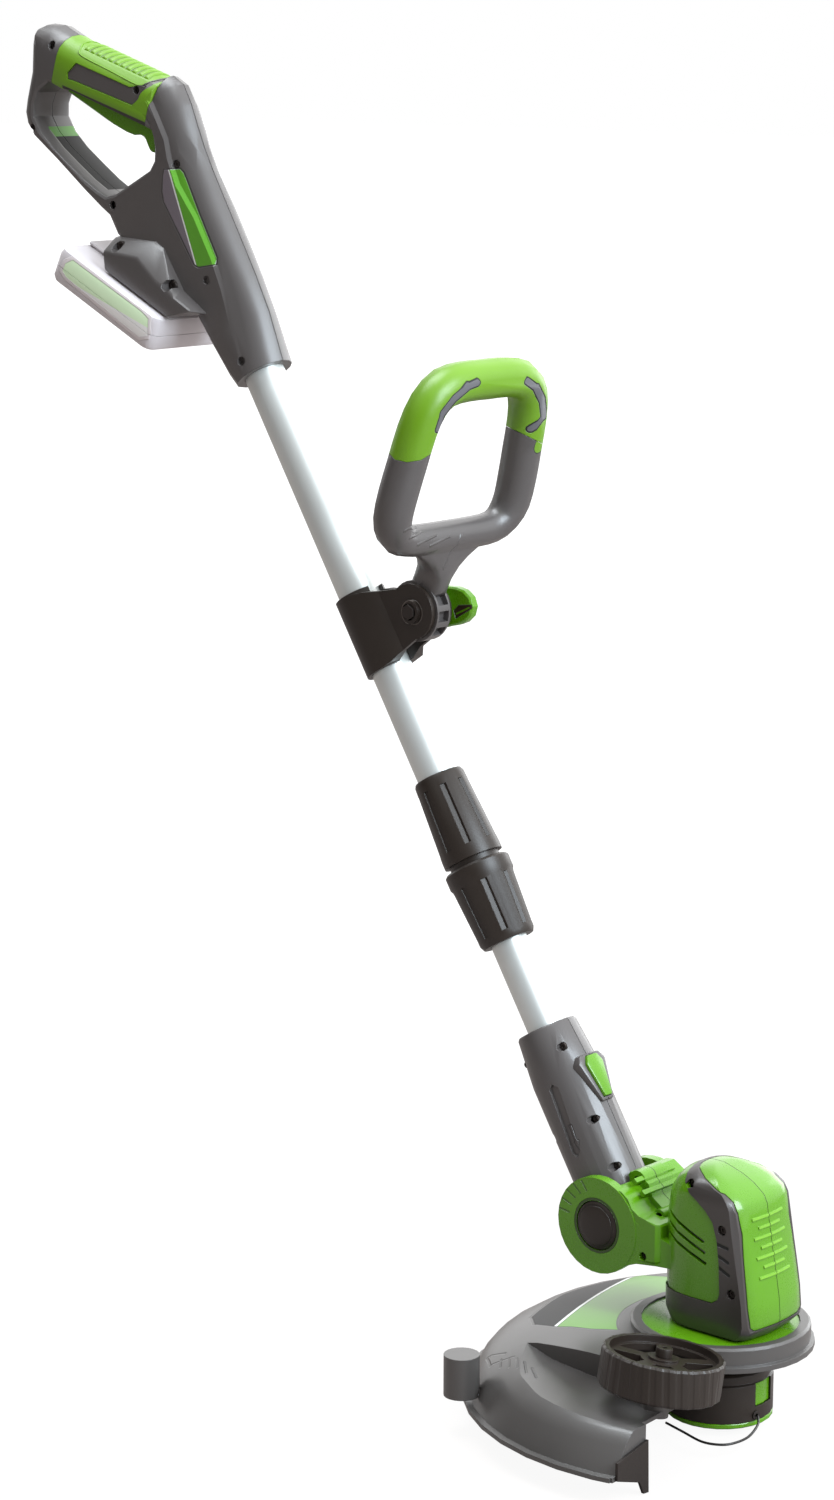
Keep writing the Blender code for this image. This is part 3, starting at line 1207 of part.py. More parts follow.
def build_motor_head():
    wall = SHELL_WALL
    outer = head_solid("head_outer")
    inner = head_solid("head_inner", -wall, -wall, HEAD_FLOOR, HEAD_TOP - 3.5, 2)
    proud = head_solid("head_proud", 0.8, 0.9)
    band = BAND_LEFT + BAND_RIGHT

    # Dark band with its base, whose floor carries the motor
    frame = keep_inside(proud, region("band_region", band))
    soft = copy_of(inner, "band_hollow")
    combine(frame, soft)
    combine(frame, rod("shaft_hole", MOTOR_BOSS_R + GAP, -10, 20, 28))
    left, right = halves(frame)
    for place, face in (((-5.5, 95), -27), ((22.5, 72), -33), ((30.5, 32), -33)):
        screw_hole(left, place, face, 5.0, 3.4)
    for z in (60, 54, 48):
        slot = [(19.5, z + 1.8), (29.5, z - 1.2), (29.5, z - 3.2), (19.5, z - 0.2)]
        combine(left, slab("band_slot", [slot], -40, -31.6))
        combine(right, slab("band_slot", [slot], 31.6, 40))
    part(left, "motor_band_left", "dark_shell", HEAD)
    part(right, "motor_band_right", "dark_shell", HEAD)

    # Green end cover, in two halves
    cover = copy_of(outer, "cover")
    bars = head_solid("cover_bars", 0.7, 0)
    bands = []
    for i in range(7):
        z = 77.5 - 6.1 * i
        wide = 16.0 if i % 2 == 0 else 11.0
        bar = block("bar_%d" % i, (20, -wide, z - 0.9), (60, wide, z + 0.9))
        bands.append(keep_inside(bar, bars if i == 0 else copy_of(bars, "cover_bars_%d" % i)))
    for bar in bands:
        join(cover, bar)
    keep_inside(cover, region("cover_region", inset(BAND_RIGHT[1:] + [(60, 115)], GAP)))
    combine(cover, copy_of(inner, "cover_hollow"))
    left, right = halves(cover)
    part(left, "motor_cover_left", "green_shell", HEAD)
    part(right, "motor_cover_right", "green_shell", HEAD)

    # Yoke with the front shell in one piece each side
    front_region = inset([(-60, 115), (-60, 22.5), (15, 22.5), (20, 25.5), (21.5, 30), (20.5, 50), (18.5, 65),
                          (15, 75.5), (9, 82), (2, 87), (-5, 91), (-9.5, 95.5), (-12, 99), (-16.5, 105),
                          (-19, 115)], GAP)
    yoke = copy_of(outer, "yoke")
    keep_inside(yoke, region("front_region", front_region))
    px, pz = PIVOT_FROM_SPOOL
    pivot = (px, pz)
    for side in (-1, 1):
        near, far = sorted((side * CHEEK_IN, side * CHEEK_OUT))
        cheek = cross_rod("cheek", CHEEK_R, pivot, near, far, 30)
        arm = []
        for x, low, high, out, into in ((-72, 21.5, 79, CHEEK_OUT, CHEEK_IN),
                                        (-62, 25.5, 72, CHEEK_OUT, CHEEK_IN),
                                        (-54, 30.5, 66, CHEEK_OUT, CHEEK_IN),
                                        (-45, 34, 61, 30.5, 22.5), (-31, 35, 55, 28, 18),
                                        (-17, 35, 49, 25, 14)):
            a, b = side * into, side * out
            arm.append([(x, a, low), (x, b, low), (x, b, high), (x, a, high)])
        join(cheek, loft("arm", arm))
        soften(cheek, 1.4, 1, 50)
        join(yoke, cheek)
    lean = math.radians(SHAFT_LEAN)
    forward = Vector((math.cos(lean), math.sin(lean)))
    upward = Vector((-forward.y, forward.x))
    start = Vector(pivot)
    clear = LOWER_R + 1.0
    web = [tuple(start + forward * clear + upward * 24.0)]
    web += [(-60, 86.5), (-51, 81), (-47.5, 73), (-40, 68), (-28, 64), (-28, 36), (-46, 34)]
    for degrees in (-74, -60, -45, -30, -15, 0):
        turn = math.radians(degrees)
        web.append(tuple(start + forward * (clear * math.cos(turn)) + upward * (clear * math.sin(turn))))
    bridge = slab("bridge", [web], -CHEEK_OUT + 0.8, CHEEK_OUT - 0.8)
    soften(bridge, 2.6, 1, 50)
    pocket = [(-70, 80.5), (-58, 79), (-52.5, 75), (-49.5, 69.5), (-44, 66), (-28, 62.5), (-28, 95),
              (-70, 95)]
    combine(bridge, slab("bridge_pocket", [pocket], -40, -11))
    join(yoke, bridge)
    join(yoke, cross_rod("bridge_boss", 6.6, (-59.5, 81.5), -11.5, 12, 20))
    join(yoke, cross_rod("low_boss", 5.0, (-38.5, 63.0), -15.5, 0, 16))
    for x, z in ((-55.5, 83.6), (-49.2, 77.0)):
        bar = block("bridge_bar", (-1.6, -20, -1.6), (1.6, 20, 1.6))
        slope = Matrix.Rotation(math.radians(40), 4, "Y")
        bar.data.transform(Matrix.Translation(Vector((x, 0, z)) * MM) @ slope)
        join(yoke, bar)
    combine(yoke, slab("bridge_void", [[(-49, 66), (-46, 60), (-38, 56), (-31, 54), (-31, 40), (-44, 40),
                                        (-49.5, 46)]], -18, 18))
    combine(yoke, copy_of(inner, "yoke_hollow"))
    combine(yoke, cross_rod("button_room", BUTTON_R + 0.5, pivot, -40, -BUTTON_FLOOR, 28))
    combine(yoke, cross_rod("cap_room", BUTTON_R + GAP, pivot, 27.3, 40, 28))
    combine(yoke, cross_rod("stem_room", 8.9, pivot, -40, -20, 20))
    combine(yoke, cross_rod("cap_stem_room", 6.6, pivot, 20, 40, 16))
    for i in range(3):
        z = 74.5 - 7.0 * i
        cut = [(-24, z), (-24, z - 2.2), (7 + i, z - 14.6), (8.5 + i, z - 13.4), (8.5 + i, z - 12.6)]
        combine(yoke, slab("vent", [cut], -40, 0))
    left, right = halves(yoke)
    screw_hole(left, (-40, 40), -CHEEK_OUT + 0.5, 5.0, 3.0)
    screw_hole(left, (-59.5, 81.5), -11.5, 4.0, 3.2)
    screw_hole(left, (-38.5, 63.0), -15.5, 4.0, 2.8)
    part(left, "yoke_left", "green_shell", HEAD)
    part(right, "yoke_right", "green_shell", HEAD)
    for tool in (outer, inner):
        bpy.data.objects.remove(tool)


MOTOR_BOSS_R = 10.0
MOTOR_R = 24.0
SHAFT_R = 4.0


def build_motor():
    can = turned("motor_can", [
        (SHAFT_R + GAP, 82), (11, 82), (11, 78), (MOTOR_R - 2, 78), (MOTOR_R, 76),
        (MOTOR_R, HEAD_FLOOR + GAP), (MOTOR_BOSS_R, HEAD_FLOOR + GAP), (MOTOR_BOSS_R, 3.5),
        (SHAFT_R + GAP, 3.5)], 24, True)
    part(can, "motor_can", "steel", HEAD)
    shaft = rod("motor_shaft", SHAFT_R, -38, 84.5, 20)
    part(shaft, "motor_shaft", "steel", HEAD)


# Guard, turntable disc, wheel and cutter

DISC_R = 50.3
RING_R = 57.5
FLANGE_R = 60.0
HUB_HOLE_R = 28.6
GUARD_NEAR_END = 33.0            # plane where the guard ends on the near side
GUARD_FAR_END = 108.0            # direction of its other end, degrees from forward
GUARD_WALL = 2.6
GUARD_LOW = -50.3
GUARD_PROFILE = [(57, -4), (95, -6.6), (118, -11.1), (135, -17.6), (146, -24.5), (152, -31),
                 (160.5, -47)]
WHEEL_PLACE = (27.5, -95.0, 12.0)
WHEEL_R = 38.5
WHEEL_WIDTH = 24.0
WHEEL_RIM = 4.5
WHEEL_HUB_R = 9.5
SPOKE_GAP_EDGE = 3.0              # from the rim's inside to the gaps between the spokes
AXLE_R = 3.2
CUTTER_X = 38.5
BUMPER_PLACE = (-108.0, -127.0, 0.0)


def build_turntable():
    seat = HEAD_SECTIONS[0][0] - GAP
    disc = turned("turntable_disc", [
        (SHAFT_R + 2, 0), (12, 0), (12, seat), (20, seat), (20, 0), (DISC_R, 0), (DISC_R, -3), (28, -3),
        (28, -24), (25, -24), (25, -3), (SHAFT_R + 2, -3)], 32, True)
    part(disc, "turntable_disc", "green_shell", HEAD)


def wheel_turn():
    axis = Vector((math.sin(math.radians(3.0)), math.sin(math.radians(8.7)), 1.0)).normalized()
    return Vector((0, 0, 1)).rotation_difference(axis).to_matrix().to_4x4()


def guard_cutters(name, margin):
    """What the guard's deck gives up to the wheel: a flat recess, and room round the wheel itself."""
    floor = [(-98, -9 - margin), (-84, -14 - margin), (-66, -19 - margin), (-36, -21.5 - margin),
             (70, -23 - margin), (70, 30), (-98, 30)]
    recess = slab(name + "_recess", [floor], -150, -88 + margin)
    wheel = rod(name + "_wheel", WHEEL_R + 3 + margin, -WHEEL_WIDTH - 4 - margin, 40, 40)
    wheel.data.transform(Matrix.Translation(Vector(WHEEL_PLACE) * MM) @ wheel_turn())
    return recess, wheel


def build_guard():
    wall = GUARD_WALL
    outer_profile = [(0, -4)] + GUARD_PROFILE + [(164.5, -47.3), (164.5, GUARD_LOW), (0, GUARD_LOW)]
    outer = turned("guard", outer_profile, 40)
    skin = [(r - wall * 0.9, z - wall * 0.5) if r > 145 else (r - wall * 0.35, z - wall)
            for r, z in GUARD_PROFILE]
    inner = turned("guard_inner", [(0, -4 - wall)] + skin + [(160, -49), (160, -60), (0, -60)], 40)
    for piece, margin in ((outer, 0.0), (inner, wall)):
        for tool in guard_cutters(piece.name, margin):
            combine(piece, tool)
    solid = copy_of(outer, "guard_solid")
    combine(outer, inner)
    reach = 260.0
    far_end = math.radians(GUARD_FAR_END)
    wedge = [(GUARD_NEAR_END - 5.7, 0), (GUARD_NEAR_END + 10, -reach), (reach, -reach), (reach, reach),
             (reach * math.cos(far_end), reach * math.sin(far_end)), (0, 0)]
    combine(outer, plan_slab("guard_opening", [wedge], -80, 60))

    # Wall at the end that carries the line cutter, the wheel's boss and a post on the near rim
    end = block("end_wall", (CUTTER_X - 3.6, -158.5, GUARD_LOW - 1), (CUTTER_X - GAP, -126, -8))
    keep_inside(end, solid)
    join(outer, end)
    boss = rod("axle_boss", AXLE_R + 5.2, -WHEEL_WIDTH - 16, -WHEEL_WIDTH - 3.2, 20)
    boss.data.transform(Matrix.Translation(Vector(WHEEL_PLACE) * MM) @ wheel_turn())
    join(outer, boss)
    post = rod("bumper", 11.5, -42, -15, 20)
    post.data.transform(Matrix.Translation(Vector(BUMPER_PLACE) * MM))
    combine(post, copy_of(inner, "bumper_limit"))
    join(outer, post)

    # Ring that holds the turntable disc
    seat = DISC_R + GAP
    combine(outer, rod("hub_hole", HUB_HOLE_R, GUARD_LOW, 10, 32))
    collar = turned("guard_ring", [
        (seat, 1.2), (RING_R - 1.5, 1.2), (RING_R, -0.3), (RING_R, -10), (FLANGE_R, -10.5), (FLANGE_R, -14),
        (HUB_HOLE_R, -14), (HUB_HOLE_R, -8), (seat - 2, -8), (seat - 2, -3.3), (seat, -3.3)], 32, True)
    join(outer, collar)

    axle = rod("axle_hole", AXLE_R + GAP, -WHEEL_WIDTH - 12, 10, 20)
    axle.data.transform(Matrix.Translation(Vector(WHEEL_PLACE) * MM) @ wheel_turn())
    combine(outer, axle)
    part(outer, "guard", "guard_plastic", HEAD)

    blade = front_slab("line_cutter", [[(-156, -38), (-126, -32), (-125, -66), (-130, -65.5), (-134, -57),
                                        (-156, -49.5)]], CUTTER_X, CUTTER_X + 1.8)
    part(blade, "line_cutter", "steel", HEAD)


def build_wheel():
    frame = frame_empty("wheel_frame", HEAD, WHEEL_PLACE, wheel_turn())
    bottom = -WHEEL_WIDTH
    tread = 22
    inner = WHEEL_R - WHEEL_RIM
    gap_high = inner - SPOKE_GAP_EDGE
    gap_low = WHEEL_HUB_R + 4.5
    wheel = ribbed("edge_wheel", [(WHEEL_R - 1.2, 0), (WHEEL_R, -1.4), (WHEEL_R, bottom + 1.4),
                                  (WHEEL_R - 1.2, bottom)], tread, 0.7)
    inside = turned("wheel_inside", [
        (0, 5), (inner, 5), (inner, -4.5), (WHEEL_HUB_R, -4.5), (WHEEL_HUB_R, -3), (0, -3)], 26)
    combine(wheel, inside)
    under = turned("wheel_under", [
        (inner, -9), (inner, bottom - 5), (0, bottom - 5), (0, bottom + 3), (WHEEL_HUB_R, bottom + 3),
        (WHEEL_HUB_R, -9)], 22, True)
    combine(wheel, under)
    combine(wheel, rod("axle_bore", AXLE_R + GAP, bottom - 5, 5, 20))
    spokes = 5
    for i in range(spokes):
        middle = 360.0 * i / spokes + 18
        hole = arc((0, 0), gap_high, middle - 27, middle + 27, 5)
        hole += arc((0, 0), gap_low, middle + 18, middle - 18, 2)
        combine(wheel, plan_slab("spoke_gap", [hole], -20, 0))
    part(wheel, "edge_wheel", "black_plastic", frame)
    axle = turned("wheel_axle", [
        (0, 0.4), (1.8, 0.4), (1.8, 2.9), (4.9, 2.9), (5.2, 2.1), (5.2, -2.7), (AXLE_R, -2.7),
        (AXLE_R, bottom - 11.5), (0, bottom - 11.5)], 16)
    part(axle, "wheel_axle", "black_plastic", frame)


# Spool head below the guard

SPOOL_R = 34.5
SPOOL_TOP = -26.0
SPOOL_LOW = -57.5
SPOOL_WALL = 2.4
LATCH_ANGLE = 3.0
LATCH_WIDTH = 17.0
LATCH_HIGH = -33.0
LATCH_LOW = -48.5
LATCH_R = SPOOL_R - 1.5           # outside of the latch pads, which stand pressed in
EYELET_ANGLE = -11.0
EYELET_Z = -54.0


def build_spool():
    inside = SPOOL_R - SPOOL_WALL
    base = turned("spool_base", [
        (8, -17), (8, SPOOL_TOP), (31.5, SPOOL_TOP), (33, SPOOL_TOP - 1.5), (33, -32.5), (SPOOL_R, -33.5),
        (SPOOL_R, SPOOL_LOW), (inside, SPOOL_LOW), (inside, SPOOL_TOP - 2.5), (8, SPOOL_TOP - 2.5),
        (8, -47), (SHAFT_R + GAP, -47), (SHAFT_R + GAP, -17)], 22, True)
    for turn in (0, 180):
        side = LATCH_WIDTH / 2
        window = block("latch_window", (inside - 5, -side, LATCH_LOW), (SPOOL_R + 5, side, LATCH_HIGH))
        groove = turned("latch_groove", [(LATCH_R + GAP, LATCH_LOW + 1), (LATCH_R + GAP, SPOOL_LOW - 2),
                                         (inside - 3, SPOOL_LOW - 2), (inside - 3, LATCH_LOW + 1)], 26, True)
        keep_inside(groove, block("groove_keep", (10, -side, -80), (50, side, -20)))
        for tool in (window, groove):
            tool.data.transform(Matrix.Rotation(math.radians(LATCH_ANGLE + turn), 4, "Z"))
            combine(base, tool)
        angle = math.radians(EYELET_ANGLE + turn)
        out = Vector((math.cos(angle), math.sin(angle), 0))
        combine(base, aim(rod("eyelet_hole", 2.2 + GAP, 0, 20, 16), out, out * 26 + Vector((0, 0, EYELET_Z))))
        eyelet = turned("eyelet", [(1.2, 3.4), (3.0, 3.4), (3.0, 2.8), (2.2, 2.8), (2.2, 1.5), (1.2, 1.5)],
                        12, True)
        aim(eyelet, out, out * (SPOOL_R - 2.6) + Vector((0, 0, EYELET_Z)))
        part(eyelet, "line_eyelet_%d" % (1 if turn == 0 else 2), "steel", HEAD)
    part(base, "spool_base", "black_plastic", HEAD)

    cap_top = SPOOL_LOW - GAP
    cap = turned("spool_cap", [
        (0, cap_top), (SPOOL_R - 0.4, cap_top), (SPOOL_R, cap_top - 0.6), (SPOOL_R, cap_top - 2.6),
        (SPOOL_R - 1, cap_top - 3.4), (16, cap_top - 3.4), (14, cap_top - 1.8), (0, cap_top - 1.8)], 26)
    for turn in (0, 180):
        tongue = block("latch_tongue", (inside - 3.6, -4.5, cap_top - 1.5),
                       (inside - 1.2, 4.5, LATCH_HIGH - 3))
        pad = turned("latch_pad", [
            (LATCH_R, LATCH_HIGH - GAP - 0.5), (LATCH_R, LATCH_LOW + GAP),
            (inside - 2, LATCH_LOW + GAP), (inside - 2, LATCH_HIGH - GAP - 0.5)], 26, True)
        side = LATCH_WIDTH / 2 - GAP
        keep_inside(pad, block("latch_keep", (10, -side, -80), (50, side, -20)))
        join(pad, tongue)
        pad.data.transform(Matrix.Rotation(math.radians(LATCH_ANGLE + turn), 4, "Z"))
        join(cap, pad)
    part(cap, "spool_cap", "green_shell", HEAD)

    bobbin = turned("line_bobbin", [
        (8.3, -29.2), (27.5, -29.2), (27.5, -31), (12, -31), (12, -48), (27.5, -48), (27.5, -49.8),
        (8.3, -49.8)], 22, True)
    part(bobbin, "line_bobbin", "green_shell", HEAD)
    low, high, layer = -47.7, -31.3, 25.0
    rows = 3
    pitch = (high - low) / rows
    profile = [(12.3, high)]
    for i in range(rows):
        profile += [(layer - 0.7, high - pitch * i - 0.05), (layer, high - pitch * (i + 0.3)),
                    (layer, high - pitch * (i + 0.7))]
    profile += [(layer - 0.7, low), (12.3, low)]
    wound = turned("wound_line", profile, 18, True)
    part(wound, "wound_line", "line_nylon", HEAD)
    coil = helix("spool_spring", 11.0, 0.6, 3, cap_top + 0.3, -50.1)
    part(coil, "spool_spring", "steel", HEAD)


LINE_R = 0.8
LINE_POINTS = [(35.9, -7.2, -54.2), (42.5, -16.3, -55.2), (48.5, -34.4, -56), (47.5, -48.4, -56.2),
               (42.0, -55.8, -56.4), (30.5, -58.8, -56.6), (11.8, -53.2, -57), (-5.8, -47.7, -57.4)]


def build_cutting_line():
    curve = bpy.data.curves.new("cutting_line", "CURVE")
    curve.dimensions = "3D"
    curve.bevel_depth = LINE_R * MM
    curve.bevel_resolution = 2
    curve.use_fill_caps = True
    path = smooth_path(LINE_POINTS, 3)
    line = curve.splines.new("POLY")
    line.points.add(len(path) - 1)
    for point, place in zip(line.points, path):
        point.co = tuple(place * MM) + (1,)
    print("cutting line length", round(sum((b - a).length for a, b in zip(path, path[1:])), 1), "mm")
    part(weld_curve(from_mesh("cutting_line", curve)), "cutting_line", "line_nylon", HEAD)


def build():
    build_tubes()
    build_collar()
    build_rear_housing()
    build_trigger()
    build_battery()
    build_clamp()
    build_front_handle()
    build_lower_housing()
    build_tilt_lock()
    build_motor_head()
    build_motor()
    build_turntable()
    build_guard()
    build_wheel()
    build_spool()
    build_cutting_line()
    bpy.context.view_layer.update()


build()
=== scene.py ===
import json
import math
from functools import reduce

import bmesh
import bpy
from mathutils import Matrix, Vector


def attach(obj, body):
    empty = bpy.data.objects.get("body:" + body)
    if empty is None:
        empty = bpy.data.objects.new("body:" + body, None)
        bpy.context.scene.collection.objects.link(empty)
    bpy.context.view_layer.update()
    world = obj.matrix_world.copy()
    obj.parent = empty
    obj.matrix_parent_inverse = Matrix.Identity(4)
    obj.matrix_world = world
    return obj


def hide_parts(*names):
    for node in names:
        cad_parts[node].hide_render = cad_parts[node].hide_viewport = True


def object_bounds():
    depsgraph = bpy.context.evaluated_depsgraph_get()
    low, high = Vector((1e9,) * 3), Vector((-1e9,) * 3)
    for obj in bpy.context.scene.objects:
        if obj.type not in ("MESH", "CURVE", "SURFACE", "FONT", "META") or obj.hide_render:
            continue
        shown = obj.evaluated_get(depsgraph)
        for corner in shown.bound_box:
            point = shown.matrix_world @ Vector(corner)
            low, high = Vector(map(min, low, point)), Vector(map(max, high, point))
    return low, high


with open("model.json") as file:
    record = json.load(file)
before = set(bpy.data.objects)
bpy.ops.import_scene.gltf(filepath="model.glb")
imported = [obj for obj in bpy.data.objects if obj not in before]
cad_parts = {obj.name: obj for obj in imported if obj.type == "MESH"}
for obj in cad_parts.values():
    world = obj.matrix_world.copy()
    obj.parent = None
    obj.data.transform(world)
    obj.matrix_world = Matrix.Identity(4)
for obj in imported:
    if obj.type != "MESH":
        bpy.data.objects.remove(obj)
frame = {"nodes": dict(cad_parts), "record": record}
CAD_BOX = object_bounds()
NODES = frame["nodes"]
SLOTS = {entry["node"]: entry["material_slot"] for entry in frame["record"]["subparts"]}
BODY = {node: body for body, members in frame["record"]["behaviour"]["bodies"].items() for node in members}
MM = 0.001

# Frames of the model, in millimetres

PIVOT = Vector((464.125, 0, -717.765))
FORWARD = Vector((0.85264, 0, 0.522499))
UPWARD = Vector((-0.522499, 0, 0.85264))
HEAD = Vector((541.125, 0, -770.065))

GRIP_MIDDLE = (-20.7, 854.5)
GRIP_HALF = 46.0
GRIP_SLOPE = math.radians(131.1)
GRIP_ALONG = (-math.cos(GRIP_SLOPE), -math.sin(GRIP_SLOPE))
GRIP_OUT = (-GRIP_ALONG[1], GRIP_ALONG[0])


def sh(u, y, s):
    """A point of the shaft's frame: forward of the shaft, across, up the shaft."""
    return PIVOT + FORWARD * u + UPWARD * s + Vector((0, y, 0))


def hd(x, y, z):
    """A point of the motor head's frame, counted from the spool axis at the turntable disc."""
    return HEAD + Vector((x, y, z))


def gr(t, y, d):
    """A point of the grip: from its rear end forwards, across, above its middle line."""
    t -= GRIP_HALF
    return sh(GRIP_MIDDLE[0] + GRIP_ALONG[0] * t + GRIP_OUT[0] * d, y,
              GRIP_MIDDLE[1] + GRIP_ALONG[1] * t + GRIP_OUT[1] * d)


# Camera

CAMERA_RIGHT = Vector((0.75090, 0.66041, 0.00312))
CAMERA_UP = Vector((-0.13528, 0.14919, 0.97951))
CAMERA_BACK = Vector((0.64641, -0.73594, 0.20136))
CAMERA_PLACE = hd(1281.84, -1753.87, 813.60) * MM
CAMERA_LENS = 86.1
CAMERA_SENSOR = 36.0
CAMERA_FAR = 60.0


def build_camera():
    data = bpy.data.cameras.new("camera")
    camera = bpy.data.objects.new("camera", data)
    bpy.context.scene.collection.objects.link(camera)
    turn = Matrix((CAMERA_RIGHT, CAMERA_UP, CAMERA_BACK)).transposed().to_4x4()
    camera.matrix_world = Matrix.Translation(CAMERA_PLACE) @ turn
    data.sensor_width = CAMERA_SENSOR
    data.lens = CAMERA_LENS
    data.clip_end = CAMERA_FAR
    bpy.context.scene.camera = camera


build_camera()


# Shader arithmetic

class Nodes:
    """The node tree of one material or of the world."""

    def __init__(self, owner):
        owner.use_nodes = True
        self.tree = owner.node_tree

    def fill(self, node, values):
        """Link or set the sockets of a node."""
        for name, value in values.items():
            slot = node.inputs[name]
            if isinstance(value, Wire):
                self.tree.links.new(value.socket, slot)
            elif slot.type == "RGBA":
                slot.default_value = tuple(value) + (1.0,)
            else:
                slot.default_value = value

    def add(self, kind, settings, values, output=0):
        """Add a node, set its settings, fill its sockets and give one of its outputs."""
        node = self.tree.nodes.new(kind)
        for name, value in settings.items():
            setattr(node, name, value)
        self.fill(node, values)
        return Wire(self, node.outputs[output])


class Wire:
    """A shader output that takes ordinary arithmetic."""

    def __init__(self, nodes, socket):
        self.nodes = nodes
        self.socket = socket

    def math(self, operation, *values):
        return self.nodes.add("ShaderNodeMath", {"operation": operation}, dict(enumerate(values)))

    def __add__(self, other):
        return self.math("ADD", self, other)

    def __radd__(self, other):
        return self.math("ADD", other, self)

    def __sub__(self, other):
        return self.math("SUBTRACT", self, other)

    def __rsub__(self, other):
        return self.math("SUBTRACT", other, self)

    def __mul__(self, other):
        return self.math("MULTIPLY", self, other)

    def __rmul__(self, other):
        return self.math("MULTIPLY", other, self)

    def __truediv__(self, other):
        return self.math("DIVIDE", self, other)

    def __rtruediv__(self, other):
        return self.math("DIVIDE", other, self)

    def low(self, other):
        return self.math("MINIMUM", self, other)

    def high(self, other):
        return self.math("MAXIMUM", self, other)

    def size(self):
        return self.math("ABSOLUTE", self)

    def root(self):
        return self.math("SQRT", self.high(0.0))

    def fraction(self):
        return self.math("FRACT", self)

    def sine(self):
        return self.math("SINE", self)

    def angle(self, across):
        """The angle of the point (across, this value), in radians."""
        return self.math("ARCTAN2", self, across)

    def parts(self):
        """The three numbers of a vector."""
        first = self.nodes.add("ShaderNodeSeparateXYZ", {}, {0: self})
        return [Wire(self.nodes, output) for output in first.socket.node.outputs]

    def ramp(self, start, end):
        """Smoothly from 0 at start to 1 at end."""
        return self.nodes.add("ShaderNodeMapRange", {"interpolation_type": "SMOOTHSTEP"},
                              {"Value": self, "From Min": start, "From Max": end}, "Result")

    def within(self, reach, soft=0.25):
        """1 where the value is less than reach."""
        return 1.0 - self.ramp(reach - soft, reach + soft)


def highest(masks):
    return reduce(Wire.high, masks)


def distance(a, b, middle=(0.0, 0.0)):
    """How far a place in the plane of a and b is from the middle."""
    off_a = a - middle[0]
    off_b = b - middle[1]
    return (off_a * off_a + off_b * off_b).root()


def polygon(a, b, points, soft=0.3):
    """1 inside a convex outline in the plane of a and b."""
    sides = list(zip(points, points[1:] + points[:1]))
    turn = math.copysign(1.0, sum(p[0] * q[1] - q[0] * p[1] for p, q in sides))
    reaches = []
    for p, q in sides:
        length = math.hypot(q[0] - p[0], q[1] - p[1])
        nx = -(q[1] - p[1]) / length * turn
        ny = (q[0] - p[0]) / length * turn
        reaches.append(a * nx + b * ny - (p[0] * nx + p[1] * ny))
    return reduce(Wire.low, reaches).ramp(-soft, soft)


def line(a, b, p, q, half, soft=0.2):
    """1 along a straight line with round ends."""
    run = (q[0] - p[0], q[1] - p[1])
    square = run[0] ** 2 + run[1] ** 2
    along = ((a - p[0]) * (run[0] / square) + (b - p[1]) * (run[1] / square)).high(0.0).low(1.0)
    off_a = a - p[0] - along * run[0]
    off_b = b - p[1] - along * run[1]
    return (off_a * off_a + off_b * off_b).root().within(half, soft)


def lines(a, b, ends, half, soft=0.2):
    """1 along any of several straight lines."""
    return highest([line(a, b, p, q, half, soft) for p, q in ends])


def linear(r, g, b):
    """A colour written in 0 to 255 steps, as linear light."""
    out = []
    for channel in (r, g, b):
        c = channel / 255.0
        out.append(c / 12.92 if c <= 0.04045 else ((c + 0.055) / 1.055) ** 2.4)
    return tuple(out)


